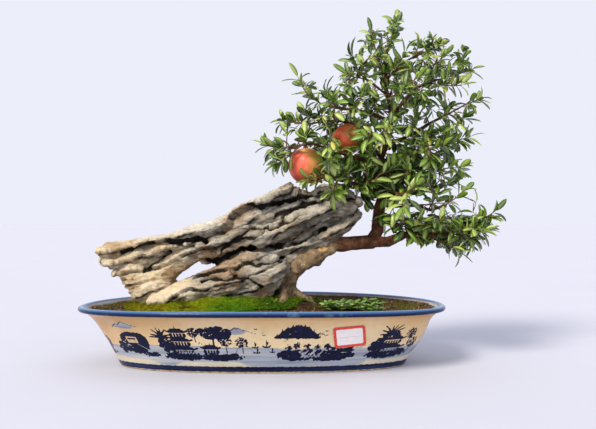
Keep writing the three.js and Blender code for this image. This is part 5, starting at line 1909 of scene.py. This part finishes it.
def make_label():
    """A paper sheet stuck on the curve of the front wall."""
    wide, tall = LABEL_SIZE
    across, up = 73, 53
    u, v = np.meshgrid(np.linspace(-wide / 2, wide / 2, across), np.linspace(-tall / 2, tall / 2, up))
    u, v = u.ravel(), v.ravel()
    corner = LABEL_CORNER
    du, dv = np.abs(u) - (wide / 2 - corner), np.abs(v) - (tall / 2 - corner)
    pull = np.where((du > 0) & (dv > 0), np.maximum(du, dv) / (np.hypot(du, dv) + 1e-9), 1)
    u = np.where(du > 0, np.sign(u) * (wide / 2 - corner + du * pull), u)
    v = np.where(dv > 0, np.sign(v) * (tall / 2 - corner + dv * pull), v)
    c, s = math.cos(LABEL_TURN), math.sin(LABEL_TURN)
    point, normal = front_wall(LABEL_AT[0] + u * c - v * s, LABEL_AT[1] + u * s + v * c)
    curl = 0.35 * smooth(0.8, 1.0, np.maximum(np.abs(u) / (wide / 2), np.abs(v) / (tall / 2)))
    sheets = [point + normal * (0.75 + curl)[:, None], point + normal * (0.4 + 0.6 * curl)[:, None]]
    faces = []
    for j in range(up - 1):
        for k in range(across - 1):
            a = j * across + k
            faces.append((a, a + 1, a + across + 1, a + across))
            a += across * up
            faces.append((a + across, a + across + 1, a + 1, a))
    grid = np.arange(across * up).reshape(up, across)
    edge = [*grid[0], *grid[1:, -1], *grid[-1, -2::-1], *grid[-2:0:-1, 0]]
    for a, b in zip(edge, edge[1:] + edge[:1]):
        faces.append((b, a, a + across * up, b + across * up))
    piece = piece_from("paper_label_sheet", spots(np.concatenate(sheets)), faces, paper_finish())
    face_out(piece)
    margin, bend = 4.2, 2.4
    border = np.hypot(np.maximum(np.abs(u) - (wide / 2 - margin - bend), 0),
                      np.maximum(np.abs(v) - (tall / 2 - margin - bend), 0)) - bend
    rule = 0.35 - np.maximum(np.abs(v + 0.4), np.abs(u) - wide * 0.38)
    store(piece.data, "border", np.tile(np.clip(0.5 + border / 3, 0, 1), 2))
    store(piece.data, "rule", np.tile(np.clip(0.5 + rule / 3, 0, 1), 2))
    return piece


def make_pebble():
    low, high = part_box("pebble")
    shape = bmesh.new()
    bmesh.ops.create_icosphere(shape, subdivisions=4, radius=1.0)
    points = np.array([v.co for v in shape.verts])
    points = np.sign(points) * np.abs(points) ** 0.92 * (1 + 0.07 * cloud(points * 1.4, 90, 3))[:, None]
    points = points / np.abs(points).max(0) * np.array((high - low) / 2) * 0.97 + np.array((high + low) / 2)
    mesh = mesh_of("tan_pebble", shape)
    move_to(mesh, points)
    return piece_of("tan_pebble", mesh, pebble_finish())


# ---- stage ----


def make_stage(settings):
    scene = bpy.context.scene
    shape = bmesh.new()
    bmesh.ops.create_circle(shape, cap_ends=True, segments=96, radius=settings.floor)
    look = Finish("pale_floor")
    cloudy = look.noise(2.5, 3)
    look.body = look.ramp(cloudy, (0.3, "#bdbfcb"), (0.7, "#c0c1cc"))
    finish = look.done(look.level(cloudy, 0.3, 0.7, 0.85, 0.95), Specular_IOR_Level=0.1)
    floor = piece_of("floor", mesh_of("floor", shape), finish)
    floor.data.transform(Matrix.Translation((0, 0, -0.0004)))
    world = bpy.data.worlds.new("soft_surround")
    world.use_nodes = True
    surround = world.node_tree.nodes["Background"]
    surround.inputs["Color"].default_value = hue("#eceefa")
    surround.inputs["Strength"].default_value = settings.sky
    scene.world = world
    for name, toward, spread, power, tint in (
            ("key_light", (-0.62, -0.85, 0.9), 20, settings.key, "#fff6e8"),
            ("fill_light", (0.9, -0.7, 0.35), 60, settings.fill, "#eef0ff")):
        light = bpy.data.lights.new(name, "SUN")
        light.angle, light.energy, light.color = math.radians(spread), power, hue(tint)[:3]
        lamp = bpy.data.objects.new(name, light)
        lamp.location = Vector(toward) * 3
        lamp.rotation_euler = Vector(toward).to_track_quat("Z", "Y").to_euler()
        scene.collection.objects.link(lamp)
    camera = bpy.data.objects.new("camera", bpy.data.cameras.new("camera"))
    camera.data.lens, camera.data.sensor_width = LENS, 36.0
    camera.data.shift_x, camera.data.shift_y = SHIFT
    camera.location = Vector(spots(CAMERA_AT))
    camera.rotation_euler = Euler((math.pi / 2, 0, 0))
    scene.collection.objects.link(camera)
    scene.camera = camera
    scene.view_settings.view_transform = "Standard"


# ---- operators, panel and the run ----


class BONSAI_OT_tray(bpy.types.Operator):
    """Make the glazed tray with its painted scenery, and finish the drain screens"""

    bl_idname = "bonsai.tray"
    bl_label = "Tray"

    def execute(self, context):
        settle(make_tray(context.scene.bonsai_tray), "glaze", "tray")
        finish = screen_finish()
        for node in (n for n in frame["nodes"] if "screen" in n):
            slots = frame["nodes"][node].data.materials
            slots.clear()
            slots.append(finish)
        return {"FINISHED"}


class BONSAI_OT_stone(bpy.types.Operator):
    """Make the layered stone with its ledges and crevices"""

    bl_idname = "bonsai.stone"
    bl_label = "Stone"

    def execute(self, context):
        settle(make_stone(context.scene.bonsai_stone), "stone", "stone")
        return {"FINISHED"}


class BONSAI_OT_wood(bpy.types.Operator):
    """Make the roots, trunk and limbs with their bark"""

    bl_idname = "bonsai.wood"
    bl_label = "Wood"

    def execute(self, context):
        settle(make_tree(context.scene.bonsai_tree), "bark", "tree")
        return {"FINISHED"}


class BONSAI_OT_sprays(bpy.types.Operator):
    """Make the leafy sprays and the spurs along the limbs"""

    bl_idname = "bonsai.sprays"
    bl_label = "Leafy sprays"

    def execute(self, context):
        for piece, node in make_sprays(context.scene.bonsai_leaf):
            settle(piece, "leaf", *([node] if node else []))
        return {"FINISHED"}


class BONSAI_OT_ground(bpy.types.Operator):
    """Make the soil with its grains and the moss with its tufts"""

    bl_idname = "bonsai.ground"
    bl_label = "Soil and moss"

    def execute(self, context):
        settle(make_soil(context.scene.bonsai_ground), "soil", "soil")
        settle(make_moss(context.scene.bonsai_ground), "moss", "moss")
        return {"FINISHED"}


class BONSAI_OT_weeds(bpy.types.Operator):
    """Make the creeping weeds and the pebble beside them"""

    bl_idname = "bonsai.weeds"
    bl_label = "Weeds and pebble"

    def execute(self, context):
        settle(make_weeds(), "weed", "weeds")
        settle(make_pebble(), "pebble", "pebble")
        return {"FINISHED"}


class BONSAI_OT_fruits(bpy.types.Operator):
    """Make both pomegranates with their crowns"""

    bl_idname = "bonsai.fruits"
    bl_label = "Fruit"

    def execute(self, context):
        settings = context.scene.bonsai_fruit
        low = fruit_finish("low_fruit_skin", settings.blush, "#eaa352", "#b6bb3e")
        high = fruit_finish("high_fruit_skin", settings.ripe, "#a64e14", "#8a5416")
        settle(make_fruit("pomegranate_low", settings, low), "fruit", "pomegranate_low")
        settle(make_fruit("pomegranate_high", settings, high), "fruit", "pomegranate_high")
        return {"FINISHED"}


class BONSAI_OT_label(bpy.types.Operator):
    """Make the blank paper label on the front wall"""

    bl_idname = "bonsai.label"
    bl_label = "Label"

    def execute(self, context):
        settle(make_label(), "paper", "paper_label")
        return {"FINISHED"}


class BONSAI_OT_stage(bpy.types.Operator):
    """Make the floor, the lights and the camera"""

    bl_idname = "bonsai.stage"
    bl_label = "Stage"

    def execute(self, context):
        make_stage(context.scene.bonsai_stage)
        return {"FINISHED"}


SETTINGS = {
    "bonsai_tray": TraySettings, "bonsai_stone": StoneSettings, "bonsai_tree": TreeSettings,
    "bonsai_leaf": LeafSettings, "bonsai_ground": GroundSettings, "bonsai_fruit": FruitSettings,
    "bonsai_stage": StageSettings,
}
OPERATORS = (BONSAI_OT_stage, BONSAI_OT_tray, BONSAI_OT_stone, BONSAI_OT_wood, BONSAI_OT_ground, BONSAI_OT_weeds,
             BONSAI_OT_fruits, BONSAI_OT_label, BONSAI_OT_sprays)


class BONSAI_PT_panel(bpy.types.Panel):
    """Buttons and settings for each group of pieces"""

    bl_idname = "BONSAI_PT_panel"
    bl_label = "Bonsai"
    bl_space_type = "VIEW_3D"
    bl_region_type = "UI"
    bl_category = "Bonsai"

    def draw(self, context):
        for operator in OPERATORS:
            self.layout.operator(operator.bl_idname)
        for name in SETTINGS:
            box = self.layout.box()
            group = getattr(context.scene, name)
            for field in group.bl_rna.properties:
                if field.identifier not in ("rna_type", "name"):
                    box.prop(group, field.identifier)


def register():
    for one in (*SETTINGS.values(), *OPERATORS, BONSAI_PT_panel):
        bpy.utils.register_class(one)
    for name, group in SETTINGS.items():
        setattr(bpy.types.Scene, name, PointerProperty(type=group))


def unregister():
    for name in SETTINGS:
        delattr(bpy.types.Scene, name)
    for one in reversed((*SETTINGS.values(), *OPERATORS, BONSAI_PT_panel)):
        bpy.utils.unregister_class(one)


def main():
    register()
    for operator in OPERATORS:
        getattr(bpy.ops.bonsai, operator.bl_idname.split(".")[1])()


if __name__ == "__main__":
    main()
